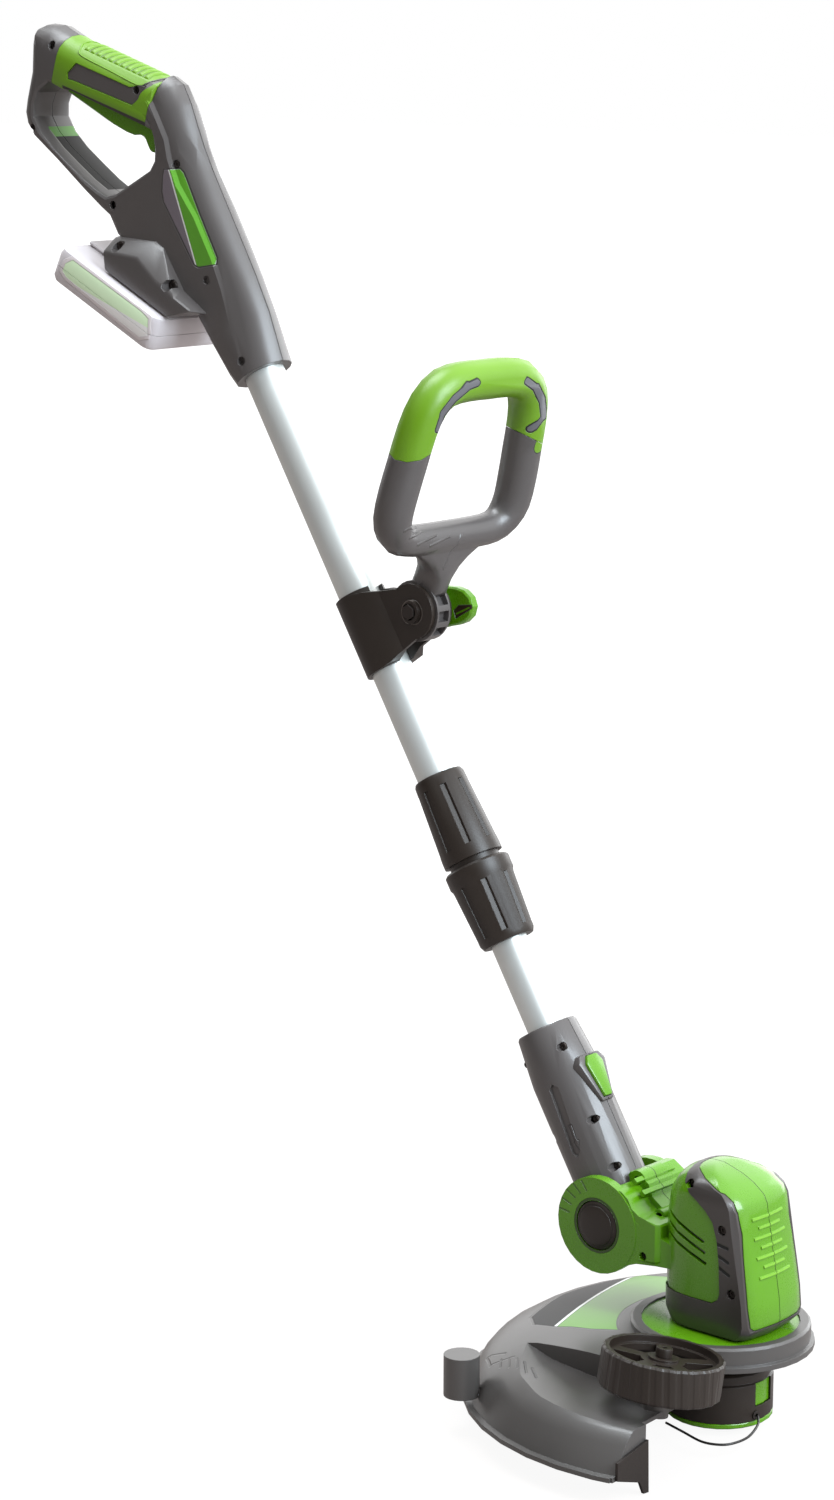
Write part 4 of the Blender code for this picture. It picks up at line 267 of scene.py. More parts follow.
class Paint(Nodes):
    """One procedural material, built up in layers of colour, roughness and height."""

    def __init__(self, name, colour, rough, metallic=0.0, coat=0.0, specular=0.5, round_edges=0.5):
        self.material = bpy.data.materials.new(name)
        super().__init__(self.material)
        self.shader = self.tree.nodes["Principled BSDF"]
        self.fill(self.shader, {"Metallic": metallic, "Coat Weight": coat, "Coat Roughness": 0.12,
                                "Specular IOR Level": specular})
        place = self.add("ShaderNodeTexCoord", {}, {}, "Object")
        self.place = self.add("ShaderNodeVectorMath", {"operation": "SCALE"}, {0: place, "Scale": 1.0 / MM})
        self.x, self.y, self.z = self.place.parts()
        self.u = (self.x - PIVOT.x) * FORWARD.x + (self.z - PIVOT.z) * FORWARD.z
        self.s = (self.x - PIVOT.x) * UPWARD.x + (self.z - PIVOT.z) * UPWARD.z
        self.hx = self.x - HEAD.x
        self.hz = self.z - HEAD.z
        self.colour = colour
        self.rough = rough
        self.height = None
        self.round_edges = round_edges

    def noise(self, size, detail=2.0, stretch=None):
        """Noise from 0 to 1 whose blotches are about that many millimetres across."""
        source = self.place
        if stretch is not None:
            source = self.add("ShaderNodeVectorMath", {"operation": "MULTIPLY"}, {0: self.place, 1: stretch})
        return self.add("ShaderNodeTexNoise", {}, {"Scale": 1.0 / size, "Detail": detail, "Vector": source},
                        "Fac")

    def mix(self, mask, colour, way="MIX"):
        self.colour = self.add("ShaderNodeMix", {"data_type": "RGBA", "blend_type": way},
                               {0: mask, 6: self.colour, 7: colour}, 2)

    def blend(self, mask, colour, rough=None):
        """Lay a colour over the part where the mask is 1."""
        self.mix(mask, colour)
        if rough is not None:
            base = self.rough
            self.rough = mask * (rough - base) + base

    def raise_by(self, amount):
        """Add millimetres of height."""
        self.height = amount if self.height is None else self.height + amount

    def engrave(self, mask, depth=0.5, shade=0.55):
        """A groove: lower, and darkened by painted shade inside it."""
        self.mix(mask, (shade, shade, shade), "MULTIPLY")
        self.raise_by(mask * -depth)

    def seam(self):
        """The line where the two halves of a moulded shell meet."""
        self.engrave(self.y.size().within(0.22, 0.12), 0.25, 0.4)

    def moulded(self, vary=0.06, grain=0.012, grain_size=0.55):
        """Slight colour and gloss variation and a fine moulded grain."""
        broad = self.noise(38.0, 3.0)
        fine = self.noise(grain_size, 2.0)
        base = self.colour
        lighter = tuple(min(1.0, c * (1 + vary) + 0.002) for c in base)
        self.colour = tuple(c * (1 - vary) for c in base)
        self.blend(broad, lighter)
        self.rough = self.rough + (broad - 0.5) * 0.08 + (fine - 0.5) * 0.06
        self.raise_by(fine * grain)
        return self

    def done(self):
        """The finished material."""
        values = {"Base Color": self.colour, "Roughness": self.rough}
        if self.round_edges:
            values["Normal"] = self.add("ShaderNodeBevel", {"samples": 4}, {"Radius": self.round_edges * MM})
        if self.height is not None:
            bump = {"Distance": MM, "Height": self.height}
            if "Normal" in values:
                bump["Normal"] = values["Normal"]
            values["Normal"] = self.add("ShaderNodeBump", {}, bump)
        self.fill(self.shader, values)
        return self.material


# Plain finishes

DARK = linear(80, 76, 75)
GREEN = linear(88, 146, 8)
GREEN_SOFT = linear(102, 148, 14)
BLACK = linear(38, 30, 24)
GUARD = linear(73, 70, 68)
PALE = linear(212, 206, 209)
METAL = linear(226, 230, 228)
OUTLINE = linear(24, 24, 26)


def dark_shell(name):
    return Paint(name, DARK, 0.36, specular=0.8).moulded(0.05, 0.008)


def green_shell(name="green_plastic"):
    return Paint(name, GREEN, 0.28, coat=0.3, specular=0.45).moulded(0.05, 0.004, 0.9)


def black_shell(name="black_plastic"):
    return Paint(name, BLACK, 0.40).moulded(0.07, 0.008)


def tube_material():
    paint = Paint("tube_metal", METAL, 0.36, metallic=0.6)
    brushed = paint.noise(0.5, 3.0, (1.0, 1.0, 0.06))
    broad = paint.noise(60.0)
    paint.rough = 0.38 + (brushed - 0.5) * 0.12 + (broad - 0.5) * 0.06
    paint.raise_by(brushed * 0.006)
    paint.blend(broad * 0.5, linear(200, 206, 205))
    return paint.done()


def steel_material():
    paint = Paint("plain_steel", linear(150, 150, 150), 0.35, metallic=1.0)
    fine = paint.noise(1.2, 3.0)
    paint.rough = 0.3 + fine * 0.18
    paint.blend(fine * 0.4, linear(120, 120, 122))
    return paint.done()


def dark_steel_material():
    paint = Paint("blackened_steel", linear(62, 56, 53), 0.4, metallic=0.6)
    fine = paint.noise(1.5, 3.0)
    paint.rough = 0.34 + fine * 0.16
    paint.blend(fine * 0.5, linear(50, 45, 42))
    return paint.done()


def line_material():
    paint = Paint("line_nylon", linear(34, 32, 31), 0.3, round_edges=0)
    soft = paint.noise(3.0)
    paint.rough = 0.28 + soft * 0.14
    paint.blend(soft * 0.5, linear(44, 41, 39))
    return paint.done()


# Finishes of the rear housing, its grip and the battery pack

def housing_material():
    """Dark shell with a two-coloured inlay on its near side and a dark strip down its strut."""
    paint = dark_shell("housing_plastic")
    paint.seam()
    near = paint.y.within(-9.0, 0.5)
    inlay = polygon(paint.u, paint.s, [
        (2.6, 763.5), (5.5, 766.2), (16.0, 760.5), (17.2, 757.0), (15.2, 693.0), (13.0, 689.6), (-0.8, 695.4),
        (-3.3, 698.8), (-6.0, 748.5), (-3.6, 755.0)]) * near
    border = polygon(paint.u, paint.s, [
        (2.2, 764.8), (5.4, 767.4), (17.0, 761.2), (18.4, 757.2), (16.4, 692.2), (13.4, 688.4), (-1.4, 694.4),
        (-4.4, 698.2), (-7.2, 748.7), (-4.6, 756.0)]) * near
    paint.engrave(border - inlay, 0.35, 0.5)
    paint.blend(inlay, linear(112, 104, 112), 0.32)
    strut = paint.y.ramp(-8.6, -8.2) * (1.0 - paint.y.ramp(16.2, 16.6))
    strip = line(paint.u, paint.s, (-86.0, 848.0), (-60.5, 790.0), 3.0) * strut
    paint.blend(strip, linear(26, 22, 20), 0.75)
    top = line(paint.u, paint.s, (-87.2, 850.8), (-85.6, 847.0), 2.6) * strut
    paint.blend(top, linear(80, 140, 44), 0.5)
    edge = (paint.y - 3.9).size()
    paint.blend(strip * edge.ramp(11.2, 11.5), linear(120, 116, 112), 0.35)
    split = (paint.u - 9.6) * 0.985 + (paint.s - 762.0) * -0.171
    paint.blend(inlay * split.ramp(-0.2, 0.2), linear(88, 158, 34), 0.3)
    paint.blend(inlay * (split + 0.8).size().within(0.55, 0.2), linear(228, 232, 224), 0.3)
    return paint.done()


RIB_START = 28.5
RIB_STEP = 6.1
RIB_COUNT = 11
RIB_HALF = 2.35
RIB_END = RIB_START + RIB_STEP * (RIB_COUNT - 1)


def grip_material():
    """Green rubber with painted shade in the grooves between its ribs, a dark strip at its front, and a
    painted shadow below its lower edge, where it meets the trigger.
    """
    paint = Paint("grip_rubber", GREEN_SOFT, 0.44, specular=0.6).moulded(0.05, 0.02, 0.7)
    off_u = paint.u - GRIP_MIDDLE[0]
    off_s = paint.s - GRIP_MIDDLE[1]
    t = off_u * GRIP_ALONG[0] + off_s * GRIP_ALONG[1] + GRIP_HALF
    d = off_u * GRIP_OUT[0] + off_s * GRIP_OUT[1]
    strip = line(t, d, (90.0, 3.0), (96.6, 11.5), 2.1).high(line(t, d, (96.6, 11.5), (101.5, 17.0), 1.7))
    paint.blend(strip, linear(84, 79, 76), 0.36)
    phase = (((t - RIB_START) / RIB_STEP + 0.5).fraction() - 0.5).size()
    groove = (phase * RIB_STEP).ramp(RIB_HALF - 0.3, RIB_HALF + 0.4)
    first = RIB_START - RIB_HALF
    last = RIB_END + RIB_HALF
    field = d.ramp(12.3, 12.8) * t.ramp(first, first + 0.4) * (1.0 - t.ramp(last, last + 0.4))
    paint.engrave(groove * field, 0.3, 0.5)
    # Painted shadow: below this edge the grip is coloured near-black, standing in for the shade between the
    # grip and the trigger.
    shadow_edge = (d + 15.2 + (t - 26.0) * -0.02).ramp(-0.3, 0.3)
    paint.blend((1.0 - shadow_edge) * t.ramp(18.0, 19.0), linear(40, 36, 32), 0.5)
    return paint.done()


def pack_material():
    """Pale case with a two-coloured field in a raised rim on its near side."""
    paint = Paint("pack_plastic", PALE, 0.4).moulded(0.02, 0.008)
    near = paint.y.within(-36.5, 0.3)
    field = polygon(paint.u, paint.s, [
        (-95.2, 750.8), (-87.8, 749.5), (-47.6, 688.0), (-43.8, 680.0), (-50.5, 670.8), (-58.0, 673.8),
        (-99.5, 742.6), (-100.5, 748.0)]) * near
    rim = polygon(paint.u, paint.s, [
        (-95.8, 753.8), (-86.2, 752.2), (-45.2, 689.4), (-40.6, 680.0), (-50.0, 667.8), (-60.0, 672.0),
        (-102.2, 742.0), (-103.4, 749.4)]) * near
    paint.raise_by((rim - field) * 0.4)
    paint.blend(rim - field, linear(222, 214, 215), 0.4)
    paint.blend(field, linear(244, 242, 240), 0.35)
    split = (paint.u + 91.4) * 0.78 + (paint.s - 729.6) * 0.63
    paint.blend(field * split.ramp(-0.3, 0.3), linear(222, 246, 206), 0.3)
    paint.blend(field * (split + 0.6).size().within(0.5, 0.2), linear(240, 240, 238), 0.3)
    return paint.done()


# Finishes of the front handle and its clamp

LOOP_FOOT = (90.2, 446.0)
LOOP_UP = (0.7379, 0.6750)
STRIPS = [
    [(-21.0, 112.0), (-30.0, 110.1), (-41.0, 103.1), (-49.0, 93.9), (-50.5, 83.5)],
    [(28.5, 109.5), (40.0, 103.8), (49.0, 94.9), (55.0, 83.2), (47.5, 74.0)]]
TAIL = ((60.0, 76.0), (57.5, 62.0))


def loop_plane(paint):
    """Up the front loop from its foot, and through it from the front face to the back."""
    off_u = paint.u - LOOP_FOOT[0]
    off_s = paint.s - LOOP_FOOT[1]
    return off_u * LOOP_UP[0] + off_s * LOOP_UP[1], off_u * -LOOP_UP[1] + off_s * LOOP_UP[0]


def loop_strips(paint, grow=0.0):
    """The inlays at the loop's two upper corners, seen on its front face."""
    reach, depth = loop_plane(paint)
    masks = []
    for points in STRIPS:
        for i, (p, q) in enumerate(zip(points, points[1:])):
            half = (2.0 if i in (0, 3) else 2.6) + grow
            masks.append(line(paint.y, reach, p, q, half))
    return highest(masks) * (1.0 - depth.ramp(-8.0, -7.4))


def loop_grip_material():
    """Green rubber with the dark inlays, each in a darker outline."""
    paint = Paint("loop_rubber", GREEN_SOFT, 0.38, specular=0.6).moulded(0.05, 0.015, 0.7)
    outline = loop_strips(paint, 0.9)
    inlay = loop_strips(paint)
    paint.blend(outline, OUTLINE, 0.6)
    paint.blend(inlay, linear(92, 92, 96), 0.34)
    paint.raise_by((outline - inlay) * -0.4)
    return paint.done()


def loop_frame_material():
    """Dark shell with the green tail of one inlay and fine ridges round the neck."""
    paint = dark_shell("loop_plastic")
    reach, depth = loop_plane(paint)
    paint.blend(line(paint.y, reach, *TAIL, 5.3) * (1.0 - depth.ramp(2.6, 3.2)), OUTLINE, 0.6)
    paint.blend(line(paint.y, reach, *TAIL, 4.6) * (1.0 - depth.ramp(2.0, 2.6)), GREEN_SOFT, 0.4)
    ridges = [((-60, 447), (-35, 452)), ((-52, 443.5), (-35, 447.5)), ((-41, 440), (-22, 444)),
              ((-28, 438.5), (-9, 442)), ((-6, 427.5), (2, 442))]
    for p, q in ridges:
        paint.raise_by(line(paint.y, paint.s, p, q, 0.5, 0.5) * depth.within(15.0, 3.0) * 0.5)
    return paint.done()


def knob_material():
    """Green knob with the pocket of its wing on the side that faces the bracket, sunk by bump and painted
    dark as shade inside it.
    """
    paint = green_shell("knob_plastic")
    pocket = polygon(paint.u, paint.s, [(53.8, 400.6), (54.6, 406.0), (60.5, 407.4), (71.2, 402.6),
                                        (70.4, 400.4)])
    pocket = pocket * paint.y.within(18.4, 0.2)
    rib = line(paint.u, paint.s, (56.0, 403.2), (68.0, 402.0), 0.5)
    paint.raise_by(pocket * -1.0)
    # Painted shade: the pocket, apart from its rib, is coloured near-black brown.
    paint.blend(pocket * (1.0 - rib), linear(44, 22, 12), 0.55)
    return paint.done()


def bracket_material():
    """Black shell with a raised ring round the bolt on its near side."""
    paint = black_shell("bracket_plastic")
    near = 1.0 - paint.y.ramp(-9.8, -9.4)
    ring = (distance(paint.u, paint.s, (45.5, 412.8)) - 8.0).size().within(0.35, 0.2) * near
    paint.raise_by(ring * 0.35)
    paint.blend(ring, linear(92, 84, 78), 0.3)
    return paint.done()


# Finishes of the lower housing and the motor head

def housing_low_material():
    """Dark shell with the sunk arrow below the slide button."""
    paint = dark_shell("low_housing_plastic")
    paint.seam()
    near = 1.0 - paint.y.ramp(-16.5, -16.0)
    arrow = [((3.4, 66.0), (3.0, 55.0)), ((6.8, 65.5), (6.2, 55.5)), ((3.4, 66.0), (6.8, 65.5)),
             ((3.0, 55.0), (1.9, 54.4)), ((1.9, 54.4), (4.2, 47.8)), ((6.2, 55.5), (7.3, 54.6)),
             ((7.3, 54.6), (4.2, 47.8))]
    paint.engrave(lines(paint.u, paint.s, arrow, 0.3, 0.15) * near, 0.3, 0.45)
    return paint.done()


def yoke_material():
    """Green shell with a groove round the button and five tilt marks."""
    paint = green_shell("yoke_plastic")
    paint.seam()
    near = paint.y.within(-29.5, 0.3)
    off_a = paint.x - PIVOT.x
    off_b = paint.z - PIVOT.z
    paint.engrave((distance(off_a, off_b) - 17.4).size().within(0.9, 0.2) * near, 0.6, 0.22)
    inner, outer = 23.4, 29.2
    for i in range(5):
        angle = math.radians(112 + 14.5 * i)
        ends = [(math.cos(angle) * r - 2.0 * (r - 24) / 6, math.sin(angle) * r) for r in (inner, outer)]
        paint.engrave(line(off_a, off_b, *ends, 0.6) * near, 0.5, 0.5)
    return paint.done()


def tilt_button_material():
    """Black button with a groove near its rim."""
    paint = black_shell("button_plastic")
    radius = distance(paint.x - PIVOT.x, paint.z - PIVOT.z)
    paint.engrave((radius - 13.6).size().within(0.45, 0.2), 0.4, 0.75)
    return paint.done()


def band_material():
    """Dark band round the motor head, with three vents in its near side, sunk by bump and painted near-black
    as shade inside them.
    """
    paint = Paint("band_plastic", linear(59, 54, 52), 0.34, specular=0.8).moulded(0.05, 0.006)
    near = 1.0 - paint.y.ramp(-30.0, -29.6)
    slots = [((17.6, 62.6), (27.0, 61.2)), ((18.2, 55.6), (27.6, 52.2)), ((19.0, 48.2), (28.4, 44.0))]
    vents = lines(paint.hx, paint.hz, slots, 1.15, 0.15) * near
    paint.raise_by(vents * -1.2)
    # Painted shade: the vents are coloured near-black for the shade inside them.
    paint.blend(vents, linear(12, 9, 8), 0.8)
    return paint.done()


def cover_material():
    """Green end cover with painted highlights in the shape of its bars, long and short by turns."""
    paint = green_shell("cover_plastic")
    paint.fill(paint.shader, {"Coat Weight": 0.5})
    paint.seam()
    front = paint.hx.ramp(30.0, 31.0)
    bars = []
    for i in range(7):
        wide = 16.0 if i % 2 == 0 else 11.0
        level = (paint.hz - (77.8 - 6.1 * i)).size()
        bars.append(level.within(0.75, 0.3) * paint.y.size().within(wide, 0.3))
    # Painted highlight: the bars are drawn in a lighter green, standing in for the light their ridges catch.
    paint.blend(highest(bars) * front, linear(122, 178, 52), 0.2)
    return paint.done()


def disc_material():
    """Green disc with two fine marks on its top."""
    paint = green_shell("disc_plastic")
    top = paint.hz.ramp(-1.0, -0.6)
    marks = [((38.5, 13.0), (49.5, 16.0)), ((-49.0, 0.5), (-37.0, 0.0))]
    paint.engrave(lines(paint.hx, paint.y, marks, 0.35, 0.15) * top, 0.3, 0.35)
    return paint.done()


def guard_material():
    """Dark guard with a two-coloured field on its top and a sunk arrow on its skirt."""
    paint = Paint("guard_plastic", GUARD, 0.34, specular=0.9).moulded(0.05, 0.008)
    a, b = paint.hx, paint.y
    top = paint.hz.ramp(-20.0, -16.0)
    radius = distance(a, b)
    field = radius.within(127.0, 0.3) * radius.ramp(66.0, 66.6) * top * polygon(a, b, [
        (-44, -49), (-60, -57), (-83, -63), (-101, -63), (-115, -49), (-128, 0), (-118, 44), (-104, 55),
        (-60, 60)])
    edge = radius.within(128.4, 0.3) * radius.ramp(64.8, 65.4) * top * polygon(a, b, [
        (-42, -50.5), (-60, -58.6), (-83, -64.6), (-102, -64.6), (-116.6, -50), (-130, 0), (-119.6, 45),
        (-105, 56.8), (-59, 62)])
    paint.engrave(edge - field, 0.3, 0.6)
    paint.blend(field, linear(30, 27, 26), 0.6)
    split = (a + 83.1) * 0.9756 + (b + 59.5) * 0.2195
    paint.blend(field * split.ramp(-0.2, 0.2), linear(88, 146, 34), 0.34)
    paint.blend(field * (split + 1.6).size().within(1.1, 0.2), linear(226, 230, 224), 0.3)
    arrow = [((-112.5, -97.0), (-100.0, -108.5)), ((-112.5, -97.0), (-95.0, -99.5)),
             ((-100.0, -108.5), (-84, -104))]
    bars = [((-94, -105), (-88, -113)), ((-87, -105.5), (-80, -114)), ((-80, -106), (-72, -115)),
            ((-73, -107), (-64, -116)), ((-66, -108), (-55, -117))]
    paint.engrave(lines(a, b, arrow + bars, 0.7, 0.3) * paint.hz.ramp(-34.0, -32.0), 0.4, 0.72)
    return paint.done()


WHEEL_MIDDLE = (27.5, -95.0)
WHEEL_TEETH = 30.0


def wheel_material():
    """Black wheel with the fine teeth of its tread."""
    paint = black_shell("wheel_plastic")
    off_x = paint.hx - WHEEL_MIDDLE[0]
    off_y = paint.y - WHEEL_MIDDLE[1]
    wave = (off_y.angle(off_x) * WHEEL_TEETH).sine()
    paint.raise_by(wave.ramp(-0.9, 0.5) * distance(off_x, off_y).ramp(35.5, 36.5) * 0.45)
    return paint.done()


# Which finish each piece has

MATERIALS = {
    "green": green_shell().done(),
    "black": black_shell().done(),
    "housing": housing_material(),
    "grip": grip_material(),
    "yoke": yoke_material(),
    "guard": guard_material(),
    "disc": disc_material(),
    "cover": cover_material(),
    "tilt_button": tilt_button_material(),
    "pack": pack_material(),
    "loop_grip": loop_grip_material(),
    "loop_frame": loop_frame_material(),
    "tube": tube_material(),
    "steel": steel_material(),
    "dark_steel": dark_steel_material(),
    "cell": Paint("cell_wrap", linear(112, 150, 180), 0.3).moulded(0.04, 0.01, 2.0).done(),
    "line": line_material(),
    "wheel": wheel_material(),
    "knob": knob_material(),
    "bracket": bracket_material(),
    "band": band_material(),
    "low_housing": housing_low_material(),
}
FINISH = {
    "rear_housing_left": "housing", "rear_housing_right": "housing", "grip_overmould": "grip",
    "yoke_left": "yoke", "yoke_right": "yoke", "guard": "guard", "turntable_disc": "disc",
    "motor_cover_left": "cover", "motor_cover_right": "cover", "tilt_button": "tilt_button",
    "battery_case_upper": "pack", "battery_case_lower": "pack", "battery_latch": "pack",
    "front_handle_grip": "loop_grip", "edge_wheel": "wheel", "front_handle_frame": "loop_frame",
    "lower_housing_left": "low_housing", "lower_housing_right": "low_housing", "line_cutter": "dark_steel",
    "line_eyelet_1": "dark_steel", "line_eyelet_2": "dark_steel", "clamp_bolt": "dark_steel",
    "collar_sleeve": "black", "collar_nut": "black", "clamp_knob": "knob", "clamp_bracket": "bracket",
    "motor_band_left": "band", "motor_band_right": "band"}
SLOT_FINISH = {
    "green_shell": "green", "black_plastic": "black", "aluminium_tube": "tube", "steel": "steel",
    "pack_cell": "cell", "line_nylon": "line"}


# Smooth-shaded skins of the CAD solids

SMOOTHING = 32.0
OTHER_SMOOTHING = {"rear_housing_left": 26.0, "rear_housing_right": 26.0, "front_handle_frame": 48.0,
                   "front_handle_grip": 48.0}


def mesh_of(name, bm):
    mesh = bpy.data.meshes.new(name)
    bm.to_mesh(mesh)
    bm.free()
    return mesh


def add_piece(name, data, material, body):
    """A new piece on its body, with its finish."""
    piece = bpy.data.objects.new(name, data)
    bpy.context.scene.collection.objects.link(piece)
    data.materials.clear()
    data.materials.append(MATERIALS[material])
    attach(piece, body)
    return piece


def add_skin(node):
    """A piece with the node's own form, its round stretches shaded smooth."""
    mesh = NODES[node].data.copy()
    bm = bmesh.new()
    bm.from_mesh(mesh)
    bmesh.ops.remove_doubles(bm, verts=bm.verts, dist=1e-6)
    for face in bm.faces:
        face.smooth = True
    limit = math.radians(OTHER_SMOOTHING.get(node, SMOOTHING))
    for edge in bm.edges:
        edge.smooth = edge.is_manifold and edge.calc_face_angle(3.2) < limit
    bm.to_mesh(mesh)
    bm.free()
    finish = FINISH.get(node) or SLOT_FINISH[SLOTS[node]]
    piece = add_piece(node + "_skin", mesh, finish, BODY[node])
    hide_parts(node)


for node_name in sorted(NODES):
    if node_name != "cutting_line":
        add_skin(node_name)


# Raised rib field on top of the grip

FIELD_EDGE = [(20.0, 90.0), (20.2, 70.0), (23.5, 46.0), (29.0, 30.0), (59.0, 26.0), (84.0, 23.0),
              (90.5, 27.0), (95.0, 44.0), (98.5, 65.0), (100.5, 90.0)]
FIELD_START = 25.8
FIELD_LONG = 66.6
FIELD_NEAR = 47.0
FIELD_WIDE = 86.0
FIELD_STEPS = (148, 60)
FIELD_FADE = 5.0
FIELD_MARGIN = 2.0
RIB_FOOT = -0.35
RIB_RISE = 1.25
RIB_BLUNT = 0.8
ARCH_HALF = 18.05
ARCH_HIGH = 14.0
ARCH_FOOT = 2.0


def arch(t, angle, lift=0.0):
    """A point on the grip's arched top; the angle runs from the near side over the crest."""
    a = math.radians(angle)
    return gr(t, -(ARCH_HALF + lift) * math.cos(a), ARCH_FOOT + (ARCH_HIGH + lift) * math.sin(a)) * MM


def build_rib_field():
    bm = bmesh.new()
    bmesh.ops.create_grid(bm, x_segments=FIELD_STEPS[0], y_segments=FIELD_STEPS[1], size=0.5)
    for vert in bm.verts:
        t = FIELD_START + (vert.co.x + 0.5) * FIELD_LONG
        turned = (vert.co.y + 0.5) * FIELD_WIDE
        k = min(max(round((t - RIB_START) / RIB_STEP), 0), RIB_COUNT - 1)
        off = abs(t - RIB_START - k * RIB_STEP) / RIB_HALF
        rise = math.sqrt(max(0.0, 1.0 - off * off)) ** RIB_BLUNT
        inward = min(turned, FIELD_WIDE - turned) - FIELD_MARGIN
        end = min(1.0, max(0.0, inward / FIELD_FADE))
        vert.co = arch(t, FIELD_NEAR + turned, RIB_FOOT + RIB_RISE * rise * math.sqrt(end))
    for face in bm.faces:
        face.smooth = True
    bm.normal_update()
    if sum(face.normal.dot(FORWARD * GRIP_OUT[0] + UPWARD * GRIP_OUT[1]) for face in bm.faces) < 0:
        bmesh.ops.reverse_faces(bm, faces=bm.faces)
    add_piece("grip_ribs", mesh_of("grip_ribs", bm), "grip", "rear_housing")


def smooth_point(a, b, c, d, t):
    """A point between b and c of a smooth run through a, b, c and d."""
    return 0.5 * (2 * b + (c - a) * t + (2 * a - 5 * b + 4 * c - d) * t ** 2
                  + (3 * b - a - 3 * c + d) * t ** 3)


def round_curve(name, points, radius, resolution, closed=False):
    """A round strand through points in metres."""
    curve = bpy.data.curves.new(name, "CURVE")
    curve.dimensions = "3D"
    curve.bevel_depth = radius * MM
    curve.bevel_resolution = resolution
    curve.use_fill_caps = not closed
    spline = curve.splines.new("POLY")
    spline.use_cyclic_u = closed
    spline.points.add(len(points) - 1)
    for point, place in zip(spline.points, points):
        point.co = tuple(place) + (1,)
    return curve


EDGE_HALF = 0.55
EDGE_SUNK = 0.15
PATH_STEPS = 5


def build_field_edge():
    """The thin raised edge round the rib field."""
    outline = [Vector(p) for p in FIELD_EDGE]
    outline += [Vector((t, 180.0 - angle)) for t, angle in reversed(FIELD_EDGE[1:-1])]
    count = len(outline)
    points = []
    for i in range(count):
        around = [outline[(i + k - 1) % count] for k in range(4)]
        places = [smooth_point(*around, k / PATH_STEPS) for k in range(PATH_STEPS)]
        points += [arch(p.x, p.y, -EDGE_SUNK) for p in places]
    curve = round_curve("grip_field_edge", points, EDGE_HALF, 2, True)
    add_piece("grip_field_edge", curve, "grip", "rear_housing")


build_rib_field()
build_field_edge()


# Screws at the bottom of their recesses

SCREW_THICK = 1.6
SCREW_FIT = 0.84
SCREW_GAP = 0.1
SCREW_SIDES = 18
SOCKET_DEEP = 0.8
LOW_RADIUS = 23.5
HOUSING_SCREWS = [(sh(u, -18.0, s), 5.0, 3.2) for u, s in ((-46, 894), (-93, 856), (-51, 771), (15, 765))]
HOUSING_SCREWS += [(gr(88, -17.5, 4.0), 5.0, 3.2)]
HOUSING_SCREWS += [(sh(u, -19.0, s), 5.0, 3.2) for u, s in ((1, 684), (2, 622))]
HOUSING_SCREWS += [(sh(u, -31.0, s), 9.0, 4.2) for u, s in ((-54, 741), (-24, 694))]
HOUSING_SCREWS += [(sh(17, -9.0, 706), 5.0, 3.6)]
LOW_SCREWS = [(sh(u, -math.sqrt(LOW_RADIUS ** 2 - u ** 2), s), 5.0, 2.9)
              for u, s in ((17.7, 114), (18.2, 63), (18.6, 30), (-17.2, 114), (-17, 63))]
HEAD_SCREWS = [(hd(x, y, z), depth, radius) for x, y, z, depth, radius in (
    (-5.5, -27, 95, 5.0, 3.4), (22.5, -33, 72, 5.0, 3.4), (30.5, -33, 32, 5.0, 3.4),
    (-40, -30.5, 40, 5.0, 3.0), (-59.5, -11.5, 81.5, 4.0, 3.2), (-38.5, -15.5, 63.0, 4.0, 2.8))]


def screw_head(bm, place, radius):
    """A socket-headed screw that faces the near side; the place is the middle of its face."""
    others = set(bm.verts)
    bmesh.ops.create_cone(bm, cap_ends=True, segments=SCREW_SIDES, radius1=radius, radius2=radius * 0.92,
                          depth=SCREW_THICK, matrix=Matrix.Rotation(math.radians(90), 4, "X"))
    made = [vert for vert in bm.verts if vert not in others]
    front = min({face for vert in made for face in vert.link_faces}, key=lambda f: f.calc_center_median().y)
    bmesh.ops.inset_region(bm, faces=[front], thickness=radius * 0.45, depth=0.0)
    bmesh.ops.inset_region(bm, faces=[front], thickness=0.12, depth=-SOCKET_DEEP)
    for vert in bm.verts:
        if vert not in others:
            vert.co = (vert.co + Vector((0, SCREW_THICK / 2, 0)) + place) * MM


def build_screws(body, places):
    """The screws of one body: middle of the recess at its mouth, recess depth and radius."""
    name = body + "_screws"
    bm = bmesh.new()
    for mouth, depth, radius in places:
        face = depth - SCREW_THICK - SCREW_GAP
        screw_head(bm, mouth + Vector((0, face, 0)), radius * SCREW_FIT)
    add_piece(name, mesh_of(name, bm), "dark_steel", body)


build_screws("rear_housing", HOUSING_SCREWS)
build_screws("lower_housing", LOW_SCREWS)
build_screws("head", HEAD_SCREWS)


# Cutting line

LINE_POINTS = [(35.9, -7.2, -54.2), (42.5, -16.3, -55.2), (48.5, -34.4, -56), (47.5, -48.4, -56.2),
               (42.0, -55.8, -56.4), (30.5, -58.8, -56.6), (11.8, -53.2, -57), (-5.8, -47.7, -57.4)]
LINE_HALF = 0.8


def build_line():
    """The line from its eyelet to its bare end, on the same path as the CAD takes."""
    places = [Vector(p) for p in LINE_POINTS]
    last = len(places) - 1
    path = []
    for i in range(last):
        around = (places[max(i - 1, 0)], places[i], places[i + 1], places[min(i + 2, last)])
        path += [smooth_point(*around, k / PATH_STEPS) for k in range(PATH_STEPS)]
    path = [(HEAD + p) * MM for p in path + [places[-1]]]
    curve = round_curve("cutting_line_cord", path, LINE_HALF, 3)
    cord = add_piece("cutting_line_cord", curve, "line", "spool")
    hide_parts("cutting_line")
    length = sum((b - a).length for a, b in zip(path, path[1:]))


build_line()


# Floor, world and lights

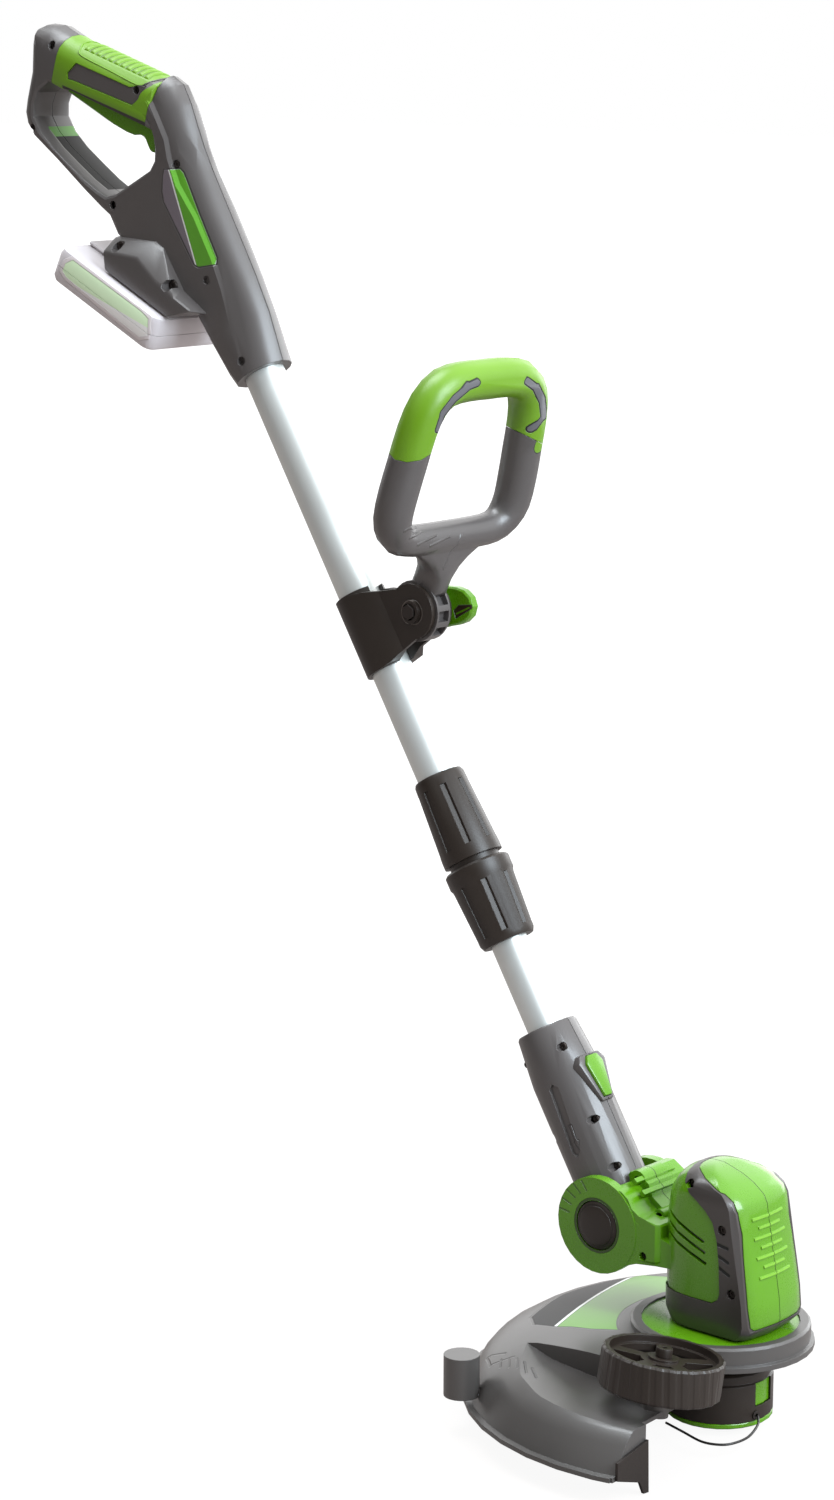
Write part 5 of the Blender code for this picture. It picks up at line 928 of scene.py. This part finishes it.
FLOOR_REACH = 20.0
FLOOR_DROP = 0.0006
FLOOR_COLOUR = (0.26, 0.225, 0.21)
FLOOR_GLOW = 1.24
SHADOW_MIDDLE = (0.45, 0.0)
SHADOW_SHARE = 0.25


def floor_material():
    """White to the camera with a faint shadow near the head, darker to the light, clear from below."""
    material = bpy.data.materials.new("floor_white")
    nodes = Nodes(material)
    shader = nodes.tree.nodes["Principled BSDF"]
    nodes.fill(shader, {"Base Color": FLOOR_COLOUR, "Roughness": 0.8})
    glow = nodes.add("ShaderNodeEmission", {}, {"Color": (1, 1, 1), "Strength": FLOOR_GLOW})
    x, y, _ = nodes.add("ShaderNodeTexCoord", {}, {}, "Object").parts()
    far = distance(x, y, SHADOW_MIDDLE).ramp(0.35, 0.9)
    seen = nodes.add("ShaderNodeLightPath", {}, {}, "Is Camera Ray")
    above = nodes.add("ShaderNodeMixShader", {}, {
        0: seen * (far * SHADOW_SHARE + (1 - SHADOW_SHARE)), 1: Wire(nodes, shader.outputs[0]), 2: glow})
    below = nodes.add("ShaderNodeNewGeometry", {}, {}, "Backfacing")
    clear = nodes.add("ShaderNodeBsdfTransparent", {}, {})
    surface = nodes.add("ShaderNodeMixShader", {}, {0: below, 1: above, 2: clear})
    nodes.fill(nodes.tree.nodes["Material Output"], {"Surface": surface})
    return material


def build_floor():
    """The ground. It rides on the lower tube, so it stays under the head when the shaft is drawn out."""
    bm = bmesh.new()
    bmesh.ops.create_grid(bm, x_segments=1, y_segments=1, size=FLOOR_REACH)
    level = min(CAD_BOX[0][2], CAD_BOX[1][2]) - FLOOR_DROP
    bmesh.ops.translate(bm, verts=bm.verts, vec=(0.3, 0, level))
    mesh = mesh_of("floor", bm)
    mesh.materials.append(floor_material())
    floor = bpy.data.objects.new("floor", mesh)
    bpy.context.scene.collection.objects.link(floor)
    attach(floor, "lower_tube")


def build_world():
    """A soft light from the right, a white backdrop and a little light from above."""
    world = bpy.data.worlds.new("studio")
    nodes = Nodes(world)
    x, y, z = nodes.add("ShaderNodeTexCoord", {}, {}, "Generated").parts()

    def toward(direction):
        direction = direction.normalized()
        return x * direction.x + y * direction.y + z * direction.z

    soft = toward(CAMERA_RIGHT * 0.9 + CAMERA_UP * 0.32 + CAMERA_BACK * 0.12).ramp(-0.05, 0.95) * 1.2
    backdrop = toward(-CAMERA_BACK).ramp(0.35, 0.9) * 1.7
    over = z.ramp(0.15, 1.0) * 0.7
    strength = soft + backdrop + over + 0.03
    camera = nodes.add("ShaderNodeLightPath", {}, {}, "Is Camera Ray")
    nodes.fill(nodes.tree.nodes["Background"], {
        "Color": (1, 1, 1), "Strength": strength.high(camera).low(camera * -1.5 + 2.5)})
    bpy.context.scene.world = world


LIGHT_TARGET = Vector((0.28, 0, -0.42))


def area_light(name, across, up, back, size, power, tint):
    """A square lamp aimed at the middle of the object, placed by the camera's directions in metres."""
    data = bpy.data.lights.new(name, "AREA")
    data.shape = "SQUARE"
    data.size = size
    data.energy = power
    data.color = tint
    lamp = bpy.data.objects.new(name, data)
    bpy.context.scene.collection.objects.link(lamp)
    lamp.location = LIGHT_TARGET + CAMERA_RIGHT * across + CAMERA_UP * up + CAMERA_BACK * back
    lamp.rotation_euler = (LIGHT_TARGET - lamp.location).to_track_quat("-Z", "Y").to_euler()


build_floor()
build_world()
area_light("key", 1.8, 0.9, 1.7, 1.5, 84, (0.78, 0.9, 1.0))
area_light("rim", 1.5, 0.6, -1.6, 1.4, 10, (0.93, 0.97, 1.0))
area_light("top", -0.5, 2.4, 0.3, 1.4, 50, (0.9, 0.96, 1.0))
area_light("fill", -1.8, 0.3, 1.8, 2.2, 2.5, (1.0, 0.93, 0.9))
bpy.context.scene.view_settings.view_transform = "Standard"
